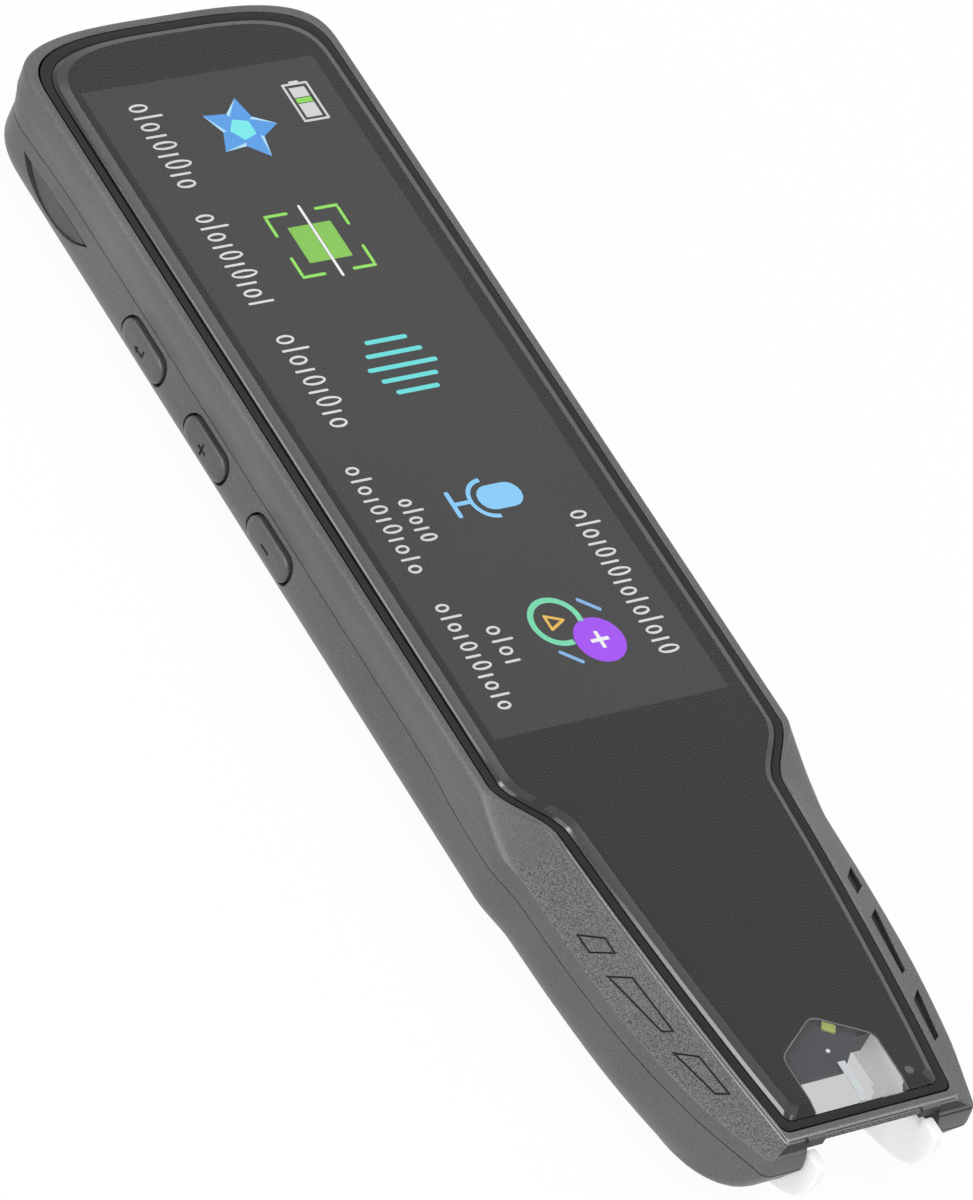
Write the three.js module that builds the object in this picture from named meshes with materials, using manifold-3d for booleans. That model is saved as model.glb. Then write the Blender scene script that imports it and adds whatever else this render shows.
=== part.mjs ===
// A translation scanner pen that lies on its back: screen up (+Z), scanning tip to -Y, keys on the -X side.
import * as THREE from 'three';
import Module from 'manifold-3d';
import { mergeVertices } from 'three/addons/utils/BufferGeometryUtils.js';

const wasm = await Module();
wasm.setup();

// Driving sizes of the pen, in millimetres.
// A station is a distance along the pen towards its tip, and a depth is measured down from the glass.
// Station zero lies just inside the rounded top end, which reaches beyond it by endOverhang.
const penThickness = 12;
const bodyHalfWidth = 17.65;
const rimInset = 1.1;
const rimHalfWidth = bodyHalfWidth - rimInset;
const wall = 1.2;
const fitGap = 0.15;
const slideGap = 0.3;
const cutOverrun = 2;
const partingGap = 0.25;
const keyProud = 0.2;

// Lengths along the pen: the top end is measured from station zero and the nose back from the tip
const endOverhang = 0.52;
const rimCrown = 0.5;
const rimEndRounding = 7.2;
const sideEndRounding = 8.6;
const penLength = 137.9;
const footProud = 1.6;
const noseLength = 33.5;
const sideShoulderLength = 5.5;
const rimShoulderLength = 7;
const rimShoulderLead = 3.5;
const rimEndInset = 2.1;
const railEndInset = 1.4;
const noseEnd = penLength - footProud;
const rimEnd = noseEnd - rimEndInset;
const railEnd = noseEnd - railEndInset;
const sideShoulderEnd = noseEnd - noseLength;
const sideShoulderStart = sideShoulderEnd - sideShoulderLength;
const rimShoulderEnd = sideShoulderEnd - rimShoulderLead;
const rimShoulderStart = rimShoulderEnd - rimShoulderLength;
const rimEndPower = 3.3;
const sideEndPower = 2.9;

// Depths of the stack behind the glass, from the glass's underside to the back of the main board
const glassThickness = 0.8;
const printThickness = 0.1;
const touchThickness = 0.2;
const screenThickness = 0.8;
const backlightThickness = 0.7;
const padThickness = 0.5;
const shieldHeight = 1.4;
const boardThickness = 0.8;
const printBottom = glassThickness + printThickness;
const touchBottom = printBottom + touchThickness;
const screenBottom = touchBottom + screenThickness;
const backlightBottom = screenBottom + backlightThickness;
const padBottom = backlightBottom + padThickness;
const boardTop = padBottom + shieldHeight;
const boardBottom = boardTop + boardThickness;

// Depths that the two shells share
const rimDepth = 0.66;
const creaseDepth = 3.3;
const creaseTipDepth = 1.9;
const partingDepth = 5.5;
const partingTipDepth = 3.7;
const backCorner = 3.9;

// Half widths of the nose, as shares of the straight half width, at shares of the nose's length
const noseStationShares = [0, 0.25, 0.5, 0.75, 0.9, 1];
const rimNoseShares = [0.77, 0.734, 0.686, 0.625, 0.58, 0.553];
const sideNoseShares = [0.9575, 0.938, 0.895, 0.805, 0.714, 0.646];

// The tip seen from the side: shares of the thickness, and the end as shares of noseReach before noseEnd
const noseReach = 8;
const tipDepthShares = [0.05, 0.09, 0.16, 0.3, 0.43, 0.59, 0.74, 0.87, 1];
const tipEndShares = [0.175, 0.1375, 0.05, 0, 0.04, 0.1875, 0.325, 0.56, 1];

// A smooth curve through points whose first coordinates rise, as a function of the first coordinate
function curveThrough(xs, ys) {
  const slopes = xs.map((x, i) => {
    const before = Math.max(i - 1, 0);
    const after = Math.min(i + 1, xs.length - 1);
    return (ys[after] - ys[before]) / (xs[after] - xs[before]);
  });
  return (x) => {
    if (x <= xs[0]) return ys[0];
    if (x >= xs[xs.length - 1]) return ys[ys.length - 1];
    const i = xs.findIndex((value) => value > x) - 1;
    const span = xs[i + 1] - xs[i];
    const t = (x - xs[i]) / span;
    const rise = ys[i + 1] - ys[i];
    const a = slopes[i] * span - rise;
    const b = rise - slopes[i + 1] * span;
    return ys[i] + t * rise + t * (1 - t) * ((1 - t) * a + t * b);
  };
}

const rimTipHalfWidth = rimHalfWidth * rimNoseShares[rimNoseShares.length - 1];
const rimNose = curveThrough(noseStationShares, rimNoseShares);
const sideNose = curveThrough(noseStationShares, sideNoseShares);
const tipProfile = curveThrough(tipDepthShares, tipEndShares);

const grown = (pair, amount) => [pair[0] - amount, pair[1] + amount];
const around = (middle, half) => [middle - half, middle + half];
const smooth = (t) => t * t * (3 - 2 * t);
const between = (a, b, t) => a + (b - a) * t;
const clamp = THREE.MathUtils.clamp;

// Where the body ends at a depth: the tip bulges a little below its rail and rises to the back
const tipEndAt = (depth) => noseEnd - noseReach * tipProfile(depth / penThickness);

const along = (station) => (penLength - endOverhang) / 2 - station;
const height = (depth) => penThickness - depth;
const stationZero = (penLength - endOverhang) / 2;

// One closed ring of the pen's outline at one level, from the crown of the top end round to the tip and back.
// The level gives its half width, nose, crown and end, its corner at the tip, and a depth for each station.
const endSteps = 8;
const shoulderSteps = 5;
const noseSteps = 7;
const cornerSteps = 4;

function ring(level) {
  const { half, inset, nose, crown, end, endRounding, endPower } = level;
  const { shoulderStart, shoulderEnd, cornerLength, cornerWidth, depthAt } = level;
  const noseLength = noseEnd - shoulderEnd;
  const neck = half * nose(0);
  const widthAt = (station) => {
    if (station <= shoulderStart) return half - inset;
    if (station >= shoulderEnd) return half * nose((station - shoulderEnd) / noseLength) - inset;
    return between(half, neck, smooth((station - shoulderStart) / (shoulderEnd - shoulderStart))) - inset;
  };
  const side = [];
  for (let i = 1; i <= endSteps; i++) {
    const angle = (Math.PI / 2) * (1 - i / endSteps);
    const x = (half - inset) * Math.cos(angle) ** (2 / endPower);
    side.push([x, crown + endRounding * (1 - Math.sin(angle) ** (2 / endPower))]);
  }
  for (let i = 0; i < shoulderSteps; i++) {
    const station = between(shoulderStart, shoulderEnd, i / shoulderSteps);
    side.push([widthAt(station), station]);
  }
  const cornerStart = end - cornerLength;
  for (let i = 0; i <= noseSteps; i++) {
    const station = between(shoulderEnd, cornerStart, i / noseSteps);
    side.push([widthAt(station), station]);
  }
  const cornerHalf = widthAt(cornerStart);
  for (let i = 1; i <= cornerSteps; i++) {
    const angle = (Math.PI / 2) * (i / cornerSteps);
    const x = cornerHalf - cornerWidth * (1 - Math.cos(angle));
    side.push([x, cornerStart + cornerLength * Math.sin(angle)]);
  }
  const right = side.map(([x, station]) => [x, station]);
  const left = side.map(([x, station]) => [-x, station]).reverse();
  const whole = [[0, crown], ...right, [0, end], ...left];
  return whole.map(([x, station]) => new THREE.Vector3(x, along(station), height(depthAt(station))));
}

// A ring that follows the rim of the screen opening, moved inwards by an offset.
// Along the nose the offset can differ from the one along the straight body.
const rimCornerLength = 0.9;

function rimRing(offset, depth, noseOffset = offset, endOffset = offset) {
  return ring({
    half: rimHalfWidth,
    inset: offset,
    nose: (share) => rimNose(share) + (offset - noseOffset) / rimHalfWidth,
    crown: rimCrown + offset,
    end: rimEnd - endOffset,
    endRounding: rimEndRounding,
    endPower: rimEndPower,
    shoulderStart: rimShoulderStart,
    shoulderEnd: rimShoulderEnd,
    cornerLength: rimCornerLength,
    cornerWidth: rimCornerLength,
    depthAt: () => depth,
  });
}

// A ring of the body's side: its depth passes smoothly from the straight body to the tip
const sideFall = 2;
const sideCorner = 1.2;
const chinCorner = 4.5;

function sideRing({ inset, depth, tipDepth, fall = sideFall, endInset = inset, corner = sideCorner }) {
  const end = tipEndAt(tipDepth) - endInset;
  const shareAt = (station) => clamp((station - rimShoulderStart) / (end - rimShoulderStart), 0, 1);
  return ring({
    half: bodyHalfWidth,
    inset,
    nose: sideNose,
    crown: inset - endOverhang,
    end,
    endRounding: sideEndRounding,
    endPower: sideEndPower,
    shoulderStart: sideShoulderStart,
    shoulderEnd: sideShoulderEnd,
    cornerLength: corner,
    cornerWidth: corner,
    depthAt: (station) => between(depth, tipDepth, shareAt(station) ** fall),
  });
}

// Joins rings of equal length into one closed surface, either capped at both ends or closed on itself
function loft(rings, closed) {
  const count = rings[0].length;
  const positions = rings.flat();
  const triangles = [];
  const pairs = closed ? rings.length : rings.length - 1;
  for (let r = 0; r < pairs; r++) {
    const next = (r + 1) % rings.length;
    for (let i = 0; i < count; i++) {
      const j = (i + 1) % count;
      triangles.push([r * count + i, next * count + i, next * count + j]);
      triangles.push([r * count + i, next * count + j, r * count + j]);
    }
  }
  if (!closed) {
    const cap = (r, turned) => {
      const flat = rings[r].map((p) => new THREE.Vector2(p.x, p.y));
      const clockwise = THREE.ShapeUtils.isClockWise(flat);
      for (const triangle of THREE.ShapeUtils.triangulateShape(flat, [])) {
        const corners = triangle.map((k) => r * count + k);
        const same = THREE.ShapeUtils.isClockWise(triangle.map((k) => flat[k])) === clockwise;
        triangles.push(same === turned ? corners.reverse() : corners);
      }
    };
    cap(0, false);
    cap(rings.length - 1, true);
  }
  const geometry = new THREE.BufferGeometry();
  const numbers = positions.flatMap((p) => p.toArray());
  geometry.setAttribute('position', new THREE.Float32BufferAttribute(numbers, 3));
  geometry.setIndex(triangles.flat());
  return facingOut(geometry);
}

// Turns a closed surface the right way out
function facingOut(geometry) {
  if (signedVolume(geometry) >= 0) return geometry;
  const index = geometry.index.array;
  for (let i = 0; i < index.length; i += 3) [index[i + 1], index[i + 2]] = [index[i + 2], index[i + 1]];
  return geometry;
}

function signedVolume(geometry) {
  const position = geometry.attributes.position;
  const index = geometry.index.array;
  const [a, b, c] = [new THREE.Vector3(), new THREE.Vector3(), new THREE.Vector3()];
  let sum = 0;
  for (let i = 0; i < index.length; i += 3) {
    a.fromBufferAttribute(position, index[i]);
    b.fromBufferAttribute(position, index[i + 1]);
    c.fromBufferAttribute(position, index[i + 2]);
    sum += a.dot(b.cross(c));
  }
  return sum;
}

// Boolean joins and cuts
function solidOf(geometry) {
  const plain = geometry.clone();
  for (const name of ['normal', 'uv']) plain.deleteAttribute(name);
  const merged = mergeVertices(plain);
  return new wasm.Manifold(new wasm.Mesh({
    numProp: 3,
    vertProperties: merged.attributes.position.array,
    triVerts: new Uint32Array(merged.index.array),
  }));
}

function geometryOf(solid) {
  const mesh = solid.getMesh();
  const geometry = new THREE.BufferGeometry();
  geometry.setAttribute('position', new THREE.Float32BufferAttribute(mesh.vertProperties, 3));
  geometry.setIndex(new THREE.Uint32BufferAttribute(mesh.triVerts, 1));
  geometry.computeVertexNormals();
  return geometry;
}

function shaped(base, { join = [], cut = [] }) {
  let solid = solidOf(base);
  for (const piece of join) solid = solid.add(solidOf(piece));
  for (const piece of cut) solid = solid.subtract(solidOf(piece));
  return geometryOf(solid);
}

// A box from its lowest to its highest x, station and depth
function block(x, station, depth) {
  const geometry = new THREE.BoxGeometry(x[1] - x[0], station[1] - station[0], depth[1] - depth[0]);
  const middle = (pair) => (pair[0] + pair[1]) / 2;
  return geometry.translate(middle(x), along(middle(station)), height(middle(depth)));
}

// A flat plate with rounded corners, drawn from the front and given a range of depths
function plate(x, station, depth, radius, holes = []) {
  const shape = roundedRectangle(x[1] - x[0], station[1] - station[0], radius);
  for (const hole of holes) shape.holes.push(hole);
  const geometry = new THREE.ExtrudeGeometry(shape, {
    depth: depth[1] - depth[0],
    bevelEnabled: false,
    curveSegments: 3,
  });
  return geometry.translate((x[0] + x[1]) / 2, along((station[0] + station[1]) / 2), height(depth[1]));
}

function roundedRectangle(width, tall, radius) {
  const [x, y, r] = [width / 2, tall / 2, radius];
  const shape = new THREE.Shape();
  shape.moveTo(-x + r, -y);
  shape.lineTo(x - r, -y);
  shape.absarc(x - r, -y + r, r, -Math.PI / 2, 0, false);
  shape.lineTo(x, y - r);
  shape.absarc(x - r, y - r, r, 0, Math.PI / 2, false);
  shape.lineTo(-x + r, y);
  shape.absarc(-x + r, y - r, r, Math.PI / 2, Math.PI, false);
  shape.lineTo(-x, -y + r);
  shape.absarc(-x + r, -y + r, r, Math.PI, Math.PI * 1.5, false);
  return shape;
}

// A slot shape with half-round ends
function pill(length, width) {
  const radius = width / 2;
  const shape = new THREE.Shape();
  shape.absarc(length / 2 - radius, 0, radius, -Math.PI / 2, Math.PI / 2, false);
  shape.absarc(radius - length / 2, 0, radius, Math.PI / 2, Math.PI * 1.5, false);
  return shape;
}

// A round post that stands on the pen's thickness, between two depths
function post(x, station, radius, depth, sides = 14) {
  const geometry = new THREE.CylinderGeometry(radius, radius, depth[1] - depth[0], sides);
  return geometry.rotateX(Math.PI / 2).translate(x, along(station), height((depth[0] + depth[1]) / 2));
}

// A round bar that lies along the pen, between two stations
function rod(x, depth, radius, station, sides = 14) {
  const geometry = new THREE.CylinderGeometry(radius, radius, station[1] - station[0], sides);
  return geometry.translate(x, along((station[0] + station[1]) / 2), height(depth));
}

// A round bar that lies across the pen, between two places along x
function crossRod(x, station, depth, radius, sides = 12) {
  const geometry = new THREE.CylinderGeometry(radius, radius, x[1] - x[0], sides);
  return geometry.rotateZ(Math.PI / 2).translate((x[0] + x[1]) / 2, along(station), height(depth));
}

// Extrudes a shape drawn as seen from the +X side, with its own x along +Y, between two places along x
function acrossPen(shape, x, station, depth, bevel = 0) {
  const geometry = new THREE.ExtrudeGeometry(shape, {
    depth: x[1] - x[0] - 2 * bevel,
    bevelEnabled: bevel > 0,
    bevelThickness: bevel,
    bevelSize: bevel,
    bevelOffset: -bevel,
    bevelSegments: 1,
    curveSegments: 5,
  });
  geometry.translate(0, 0, bevel);
  const turn = new THREE.Matrix4().makeBasis(
    new THREE.Vector3(0, 1, 0),
    new THREE.Vector3(0, 0, 1),
    new THREE.Vector3(1, 0, 0),
  );
  return geometry.applyMatrix4(turn).translate(x[0], along(station), height(depth));
}

// Extrudes a shape drawn as seen from the tip, with its own x along +X, between two stations
function alongPen(shape, x, station, depth) {
  const geometry = new THREE.ExtrudeGeometry(shape, {
    depth: station[1] - station[0],
    bevelEnabled: false,
    curveSegments: 5,
  });
  return geometry.rotateX(Math.PI / 2).translate(x, along(station[0]), height(depth));
}

const penGroup = new THREE.Group();
// The keys stand proud of one side only, so the pen is moved to put the middle of its box on the origin
penGroup.position.x = keyProud / 2;
const finish = (color, roughness, metalness = 0) => ({ color, roughness, metalness });
const finishes = {
  shellGrey: finish('#77777a', 0.55, 0.2),
  frameBlack: finish('#1d1d1f', 0.4),
  glass: finish('#2a2a2c', 0.08),
  print: finish('#101012', 0.6),
  screen: finish('#4b4b4d', 0.3),
  keyGrey: finish('#7c7c7f', 0.5, 0.2),
  footWhite: finish('#f0f0f0', 0.35),
  boardGreen: finish('#1e5a3a', 0.6),
  steel: finish('#b9bcc0', 0.35, 1),
  darkPlastic: finish('#2b2c30', 0.5),
  cellSilver: finish('#a9adb2', 0.4, 0.6),
  foam: finish('#26262a', 0.95),
  lampYellow: finish('#c9d66a', 0.3),
  lightGrey: finish('#c9cbcd', 0.5),
};

function addPiece(name, geometry, look) {
  const mesh = new THREE.Mesh(geometry, new THREE.MeshStandardMaterial(look));
  mesh.name = name;
  penGroup.add(mesh);
  return mesh;
}

// The mouth at the tip, through which the camera reads, is open to the front and the back
const mouthInset = 1.7;
const mouthHalfWidth = rimTipHalfWidth - mouthInset;
const mouthLength = 12.3;
const mouthStart = noseEnd - mouthLength;
const visorDepth = 1.3;

const mouthCut = block(
  [-mouthHalfWidth, mouthHalfWidth],
  [mouthStart, penLength + cutOverrun],
  [visorDepth, penThickness + cutOverrun],
);

// Charging socket, and the hole for its plug at the top end
const socketWidth = 8.94;
const socketHeight = 3.26;
const socketWall = 0.3;
const socketInset = 2.6;
const socketLength = 7.35;
const socketStations = [socketInset, socketInset + socketLength];
const socketBack = 0.9;
const plugClearance = 0.2;
const socketDepth = boardBottom + socketHeight / 2;
const plugCut = alongPen(
  pill(socketWidth + 2 * plugClearance, socketHeight + 2 * plugClearance),
  0,
  [-cutOverrun, socketStations[0]],
  socketDepth,
);

// Microphone at the top end, and its hole
const microphoneMiddle = 7.2;
const microphoneInset = 3.7;
const microphoneSide = 2.4;
const microphoneX = around(microphoneMiddle, microphoneSide / 2);
const microphoneStations = [microphoneInset, microphoneInset + microphoneSide];
const microphoneHeight = 1;
const microphoneHole = 0.45;
const microphoneCut = rod(
  microphoneMiddle,
  boardBottom + microphoneHeight,
  microphoneHole,
  [-cutOverrun, microphoneStations[0] - slideGap],
);

// Speaker under the top end, and its slots in the back
const speakerHalfWidth = 9;
const speakerInset = 11;
const speakerLength = 12.5;
const speakerStations = [speakerInset, speakerInset + speakerLength];
const speakerHeight = 3.5;
const speakerCorner = 1.5;
const gasketHeight = 0.7;
const gasketWidth = 1.2;
const slotHalfLength = 5;
const slotWidth = 0.9;
const slotPitch = 1.8;
const slotCount = 5;
const floorDepth = penThickness - wall;
const gasketTop = floorDepth - gasketHeight;
const speakerMiddle = (speakerStations[0] + speakerStations[1]) / 2;

function speakerSlots() {
  const slots = [];
  for (let i = 0; i < slotCount; i++) {
    const station = speakerMiddle + (i - (slotCount - 1) / 2) * slotPitch;
    const slot = new THREE.ExtrudeGeometry(pill(2 * slotHalfLength, slotWidth), {
      depth: wall + cutOverrun,
      bevelEnabled: false,
      curveSegments: 3,
    });
    slots.push(slot.translate(0, along(station), height(penThickness + cutOverrun / 2)));
  }
  return slots;
}

// Side keys: caps in holes of the back shell's wall, each with a flange that keeps it from falling out
const keyTravel = 0.3;
const keyLength = 7.4;
const keyHeight = 3;
const firstKeyStation = 32.85;
const keyPitch = 12.35;
const keyNames = ['return', 'plus', 'minus'];
const keyMargin = 1;
const keyDepth = partingDepth + keyMargin + keyHeight / 2;
const keyGap = 0.25;
const flangeRim = 0.4;
const flangeThickness = 0.6;
const flangeOuter = -bodyHalfWidth + wall + fitGap;
const flangeInner = flangeOuter + flangeThickness;
const keyPocket = 0.9;
const keyBevel = 0.3;
const symbolDepth = 0.15;

// Power key: a flat-topped lens shape, a little sunk in the wall
const powerStation = 14.8;
const powerHalfLength = 5.5;
const powerSag = 2.3;
const powerTop = 6.9;
const powerSunk = 0.15;
const powerNotch = 0.7;

function lens(halfLength, sag) {
  const radius = (halfLength ** 2 + sag ** 2) / (2 * sag);
  const spread = Math.asin(halfLength / radius);
  const shape = new THREE.Shape();
  shape.moveTo(halfLength, 0);
  shape.lineTo(-halfLength, 0);
  shape.absarc(0, radius - sag, radius, -Math.PI / 2 - spread, -Math.PI / 2 + spread, false);
  return shape;
}

const keys = keyNames.map((name, i) => ({
  name: `${name}_key`,
  station: firstKeyStation + i * keyPitch,
  depth: keyDepth,
  face: -bodyHalfWidth - keyProud,
  cap: pill(keyLength, keyHeight),
  hole: pill(keyLength + 2 * keyGap, keyHeight + 2 * keyGap),
  flange: [keyLength / 2 + flangeRim, keyHeight / 2 + flangeRim],
}));
keys.push({
  name: 'power_key',
  station: powerStation,
  depth: powerTop,
  face: -bodyHalfWidth + powerSunk,
  cap: lens(powerHalfLength, powerSag),
  hole: lens(powerHalfLength + powerNotch, powerSag + keyGap),
  flange: [powerHalfLength + flangeRim, keyHeight / 2 + flangeRim],
});

function flangePlate(key, x, gap) {
  const [length, tall] = key.flange.map((half) => 2 * (half + gap));
  return acrossPen(roundedRectangle(length, tall, flangeRim), x, key.station, keyDepth);
}

function keyCuts(key) {
  const outside = -bodyHalfWidth - cutOverrun;
  const pocketOuter = flangeOuter - slideGap;
  const lift = key.name === 'power_key' ? keyGap / 2 : 0;
  return [
    acrossPen(key.hole, [outside, pocketOuter + keyPocket], key.station, key.depth - lift),
    flangePlate(key, [pocketOuter, pocketOuter + flangeThickness + keyPocket], keyGap),
  ];
}

// Bosses of the back shell that carry the main board on four screws
const boardInset = 4.15;
const boardHalfWidth = bodyHalfWidth - boardInset;
const bossInset = 2.6;
const bossX = boardHalfWidth - bossInset;
const upperBossStation = 27;
const lowerBossStation = 59;
const bossRadius = 1.9;
const screwHole = 1;
const screwHoleDepth = 3.7;
const screwRadius = 0.7;
const screwReach = 3.2;
const screwHeadRadius = 1.6;
const screwHeadHeight = 0.6;
const crossSlotLength = 2;
const crossSlotWidth = 0.4;
const crossSlotSink = 0.3;

const bossStations = [upperBossStation, lowerBossStation];
const bossPlaces = bossStations.flatMap((station) => [[-bossX, station], [bossX, station]]);

// The scanning foot's slide: two thin blades at the sides of the mouth, joined by a bar behind the camera
const footTravel = 0.6;
const bladeThickness = 1.15;
const bladeOuter = mouthHalfWidth - slideGap;
const bladeInner = bladeOuter - bladeThickness;
const barLength = 2;
const barSetback = 2.7;
const barTop = 7.8;
const barHeight = 2.6;
const barStations = [mouthStart - barSetback - barLength, mouthStart - barSetback];
const barDepths = [barTop, barTop + barHeight];
const guideThickness = 1.2;
const guideSetback = 8;
const guideInset = 3.3;
const guideStations = [mouthStart - guideSetback, noseEnd - guideInset];
const guideTop = 3.7;
const guideSteps = 10;

// Springs of the foot, in blind bores of two posts
const springX = 4.1;
const springDepth = 9.05;
const springRadius = 0.85;
const springWire = 0.2;
const springTurns = 6;
const springReach = 6;
const springPostHalfWidth = 1.7;
const springPostLength = 4.6;
const springPostGap = 2.8;
const springPostX = around(springX, springPostHalfWidth);
const springPostEnd = barStations[0] - springPostGap;
const springPostStations = [springPostEnd - springPostLength, springPostEnd];
const springPostTop = 7.4;
const springBore = 1.3;
const springBoreStart = barStations[0] - springReach - footTravel - fitGap;

// The camera's housing stands on a block of the back shell
const cameraSetback = 9;
const cameraReach = 2.3;
const cameraStations = [mouthStart - cameraSetback, mouthStart + cameraReach];
const cameraInset = 1.85;
const cameraHalfWidth = mouthHalfWidth - cameraInset;
const cameraBottom = 7.1;
const cameraSeatHalfWidth = 3.5;
const cameraSeatStations = [barStations[1] + slideGap, mouthStart - fitGap];

// Back shell: a tray with rounded corners, an inner lip, bosses for the board and guides for the foot
const lipRise = 1;
const lipWall = 0.8;

// One ring of the back shell: the tip's depths run from the raised parting line down to the same flat base
function backRing(inset, depth, base = penThickness) {
  const share = (depth - partingDepth) / (base - partingDepth);
  const tipDepth = Math.max(between(partingTipDepth, base, share), partingTipDepth - fitGap);
  const corner = between(sideCorner, chinCorner, clamp(share, 0, 1));
  const endInset = Math.min(inset, wall + fitGap + lipWall);
  return sideRing({ inset, depth, tipDepth, endInset, corner });
}

function backShellRings() {
  const rings = [];
  for (const degrees of [90, 67.5, 45, 22.5, 0]) {
    const angle = THREE.MathUtils.degToRad(degrees);
    const depth = penThickness - backCorner * (1 - Math.sin(angle));
    rings.push(backRing(backCorner * (1 - Math.cos(angle)), depth));
  }
  const lip = wall + fitGap;
  const lipRoot = partingDepth + partingGap;
  const lipTop = partingDepth - lipRise;
  rings.push(
    backRing(0, lipRoot),
    backRing(lip, lipRoot),
    backRing(lip, lipTop),
    backRing(lip + lipWall, lipTop),
    backRing(lip + lipWall, lipRoot),
  );
  const innerCorner = backCorner - wall;
  for (const degrees of [0, 30, 60, 90]) {
    const angle = THREE.MathUtils.degToRad(degrees);
    const depth = floorDepth - innerCorner * (1 - Math.sin(angle));
    rings.push(backRing(wall + innerCorner * (1 - Math.cos(angle)), depth, floorDepth));
  }
  return rings;
}

const sunk = floorDepth + wall / 2;

// A guide for one of the foot's blades, which ends inside the chin's curve
function footGuide(x) {
  const shape = new THREE.Shape();
  shape.moveTo(along(guideStations[0]), height(sunk));
  shape.lineTo(along(guideStations[0]), height(guideTop));
  for (let i = 0; i <= guideSteps; i++) {
    const depth = between(guideTop, sunk, i / guideSteps);
    shape.lineTo(along(Math.min(guideStations[1], tipEndAt(depth) - wall)), height(depth));
  }
  return acrossPen(shape, x, stationZero, penThickness);
}

function backShell() {
  const join = [];
  const cut = [mouthCut, plugCut, microphoneCut, ...speakerSlots(), ...keys.flatMap(keyCuts)];
  for (const [x, station] of bossPlaces) {
    join.push(post(x, station, bossRadius, [boardBottom, sunk]));
    cut.push(post(x, station, screwHole, [boardBottom - cutOverrun, boardBottom + screwHoleDepth], 10));
  }
  for (const side of [-1, 1]) {
    const mirrored = ([from, to]) => (side < 0 ? [-to, -from] : [from, to]);
    const guideX = mirrored([mouthHalfWidth, mouthHalfWidth + guideThickness]);
    join.push(footGuide(guideX));
    join.push(block(mirrored(springPostX), springPostStations, [springPostTop, sunk]));
    const boreStations = [springBoreStart, springPostStations[1] + cutOverrun / 2];
    cut.push(rod(side * springX, springDepth, springBore, boreStations));
  }
  join.push(block(around(0, cameraSeatHalfWidth), cameraSeatStations, [cameraBottom, sunk]));
  return shaped(loft(backShellRings(), false), { join, cut });
}

addPiece('back_shell', backShell(), finishes.shellGrey);

// Front shell: a ring with the rim of the screen opening, the slanted nose and a shelf under the frame
const rimWidth = 0.8;
const noseRimWidth = 0.25;
const railWidth = railEnd - rimEnd;
const rimEdgeDrop = 0.35;
const rimEdgeOut = 0.22;
const creaseWidth = 0.4;
const creaseDrop = 0.12;
const creaseCorner = 0.7;
const creaseFall = 4;
const shelfTop = 2.6;
const shelfThickness = 0.8;
const shelfReach = 1.7;

function frontShellRings() {
  const side = (inset, depth, tipDepth, fall, corner) => sideRing({ inset, depth, tipDepth, fall, corner });
  const shelfBottom = shelfTop + shelfThickness;
  const edge = rimWidth + rimEdgeOut;
  const noseEdge = noseRimWidth + rimEdgeOut / 2;
  const railEdge = railWidth + rimEdgeOut;
  const outer = [
    side(0, partingDepth, partingTipDepth),
    side(0, creaseDepth + 2 * creaseWidth, creaseTipDepth + 4 * creaseDrop, creaseFall),
    side(creaseDrop, creaseDepth + creaseWidth, creaseTipDepth + 2 * creaseDrop, creaseFall),
    side(0, creaseDepth, creaseTipDepth, creaseFall, creaseCorner),
    rimRing(-edge, rimDepth + rimEdgeDrop, -noseEdge, -railEdge),
    rimRing(-rimWidth, rimDepth, -noseRimWidth, -railWidth),
  ];
  const inner = [
    rimRing(0, rimDepth),
    rimRing(0, shelfTop),
    rimRing(shelfReach, shelfTop),
    rimRing(shelfReach, shelfBottom),
    side(wall, shelfBottom + creaseWidth, shelfBottom, creaseFall),
    side(wall, partingDepth, partingTipDepth),
  ];
  return [...outer, ...inner];
}

// Three four-sided pockets in each slanted side of the nose. Each pair's first share is nearer the top end.
// The outer and inner shares are places along the nose, and the others run from the rim's edge to the crease.
const pocketDepth = 0.5;
const pocketShares = [
  { outer: [0.164, 0.23], inner: [0.212, 0.269], outerAcross: [0.72, 0.73], innerAcross: [0.3, 0.32] },
  { outer: [0.31, 0.525], inner: [0.349, 0.543], outerAcross: [0.72, 0.55], innerAcross: [0.33, 0.34] },
  { outer: [0.588, 0.749], inner: [0.633, 0.77], outerAcross: [0.65, 0.56], innerAcross: [0.26, 0.28] },
];

// A point on the slanted side, at a share of the nose and a share of the way from rim to crease
function facetPoint(side, noseShare, across) {
  const station = between(sideShoulderEnd, noseEnd, noseShare);
  const rimShare = (station - rimShoulderEnd) / (noseEnd - rimShoulderEnd);
  const rimX = rimHalfWidth * rimNose(rimShare) + noseRimWidth + rimEdgeOut / 2;
  const creaseX = bodyHalfWidth * sideNose(noseShare);
  const fall = clamp((station - rimShoulderStart) / (tipEndAt(creaseTipDepth) - rimShoulderStart), 0, 1);
  const creaseHere = between(creaseDepth, creaseTipDepth, fall ** creaseFall);
  const depth = between(rimDepth + rimEdgeDrop, creaseHere, across);
  return new THREE.Vector3(side * between(rimX, creaseX, across), along(station), height(depth));
}

function pocketCut(side, shares) {
  const corners = [
    facetPoint(side, shares.outer[0], shares.outerAcross[0]),
    facetPoint(side, shares.inner[0], shares.innerAcross[0]),
    facetPoint(side, shares.inner[1], shares.innerAcross[1]),
    facetPoint(side, shares.outer[1], shares.outerAcross[1]),
  ];
  const acrossFacet = corners[1].clone().sub(corners[0]);
  const alongFacet = corners[3].clone().sub(corners[0]);
  const normal = acrossFacet.cross(alongFacet).normalize();
  if (normal.z < 0) normal.negate();
  const lifted = (distance) => corners.map((corner) => corner.clone().addScaledVector(normal, distance));
  return loft([lifted(-pocketDepth), lifted(pocketDepth)], false);
}

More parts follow.
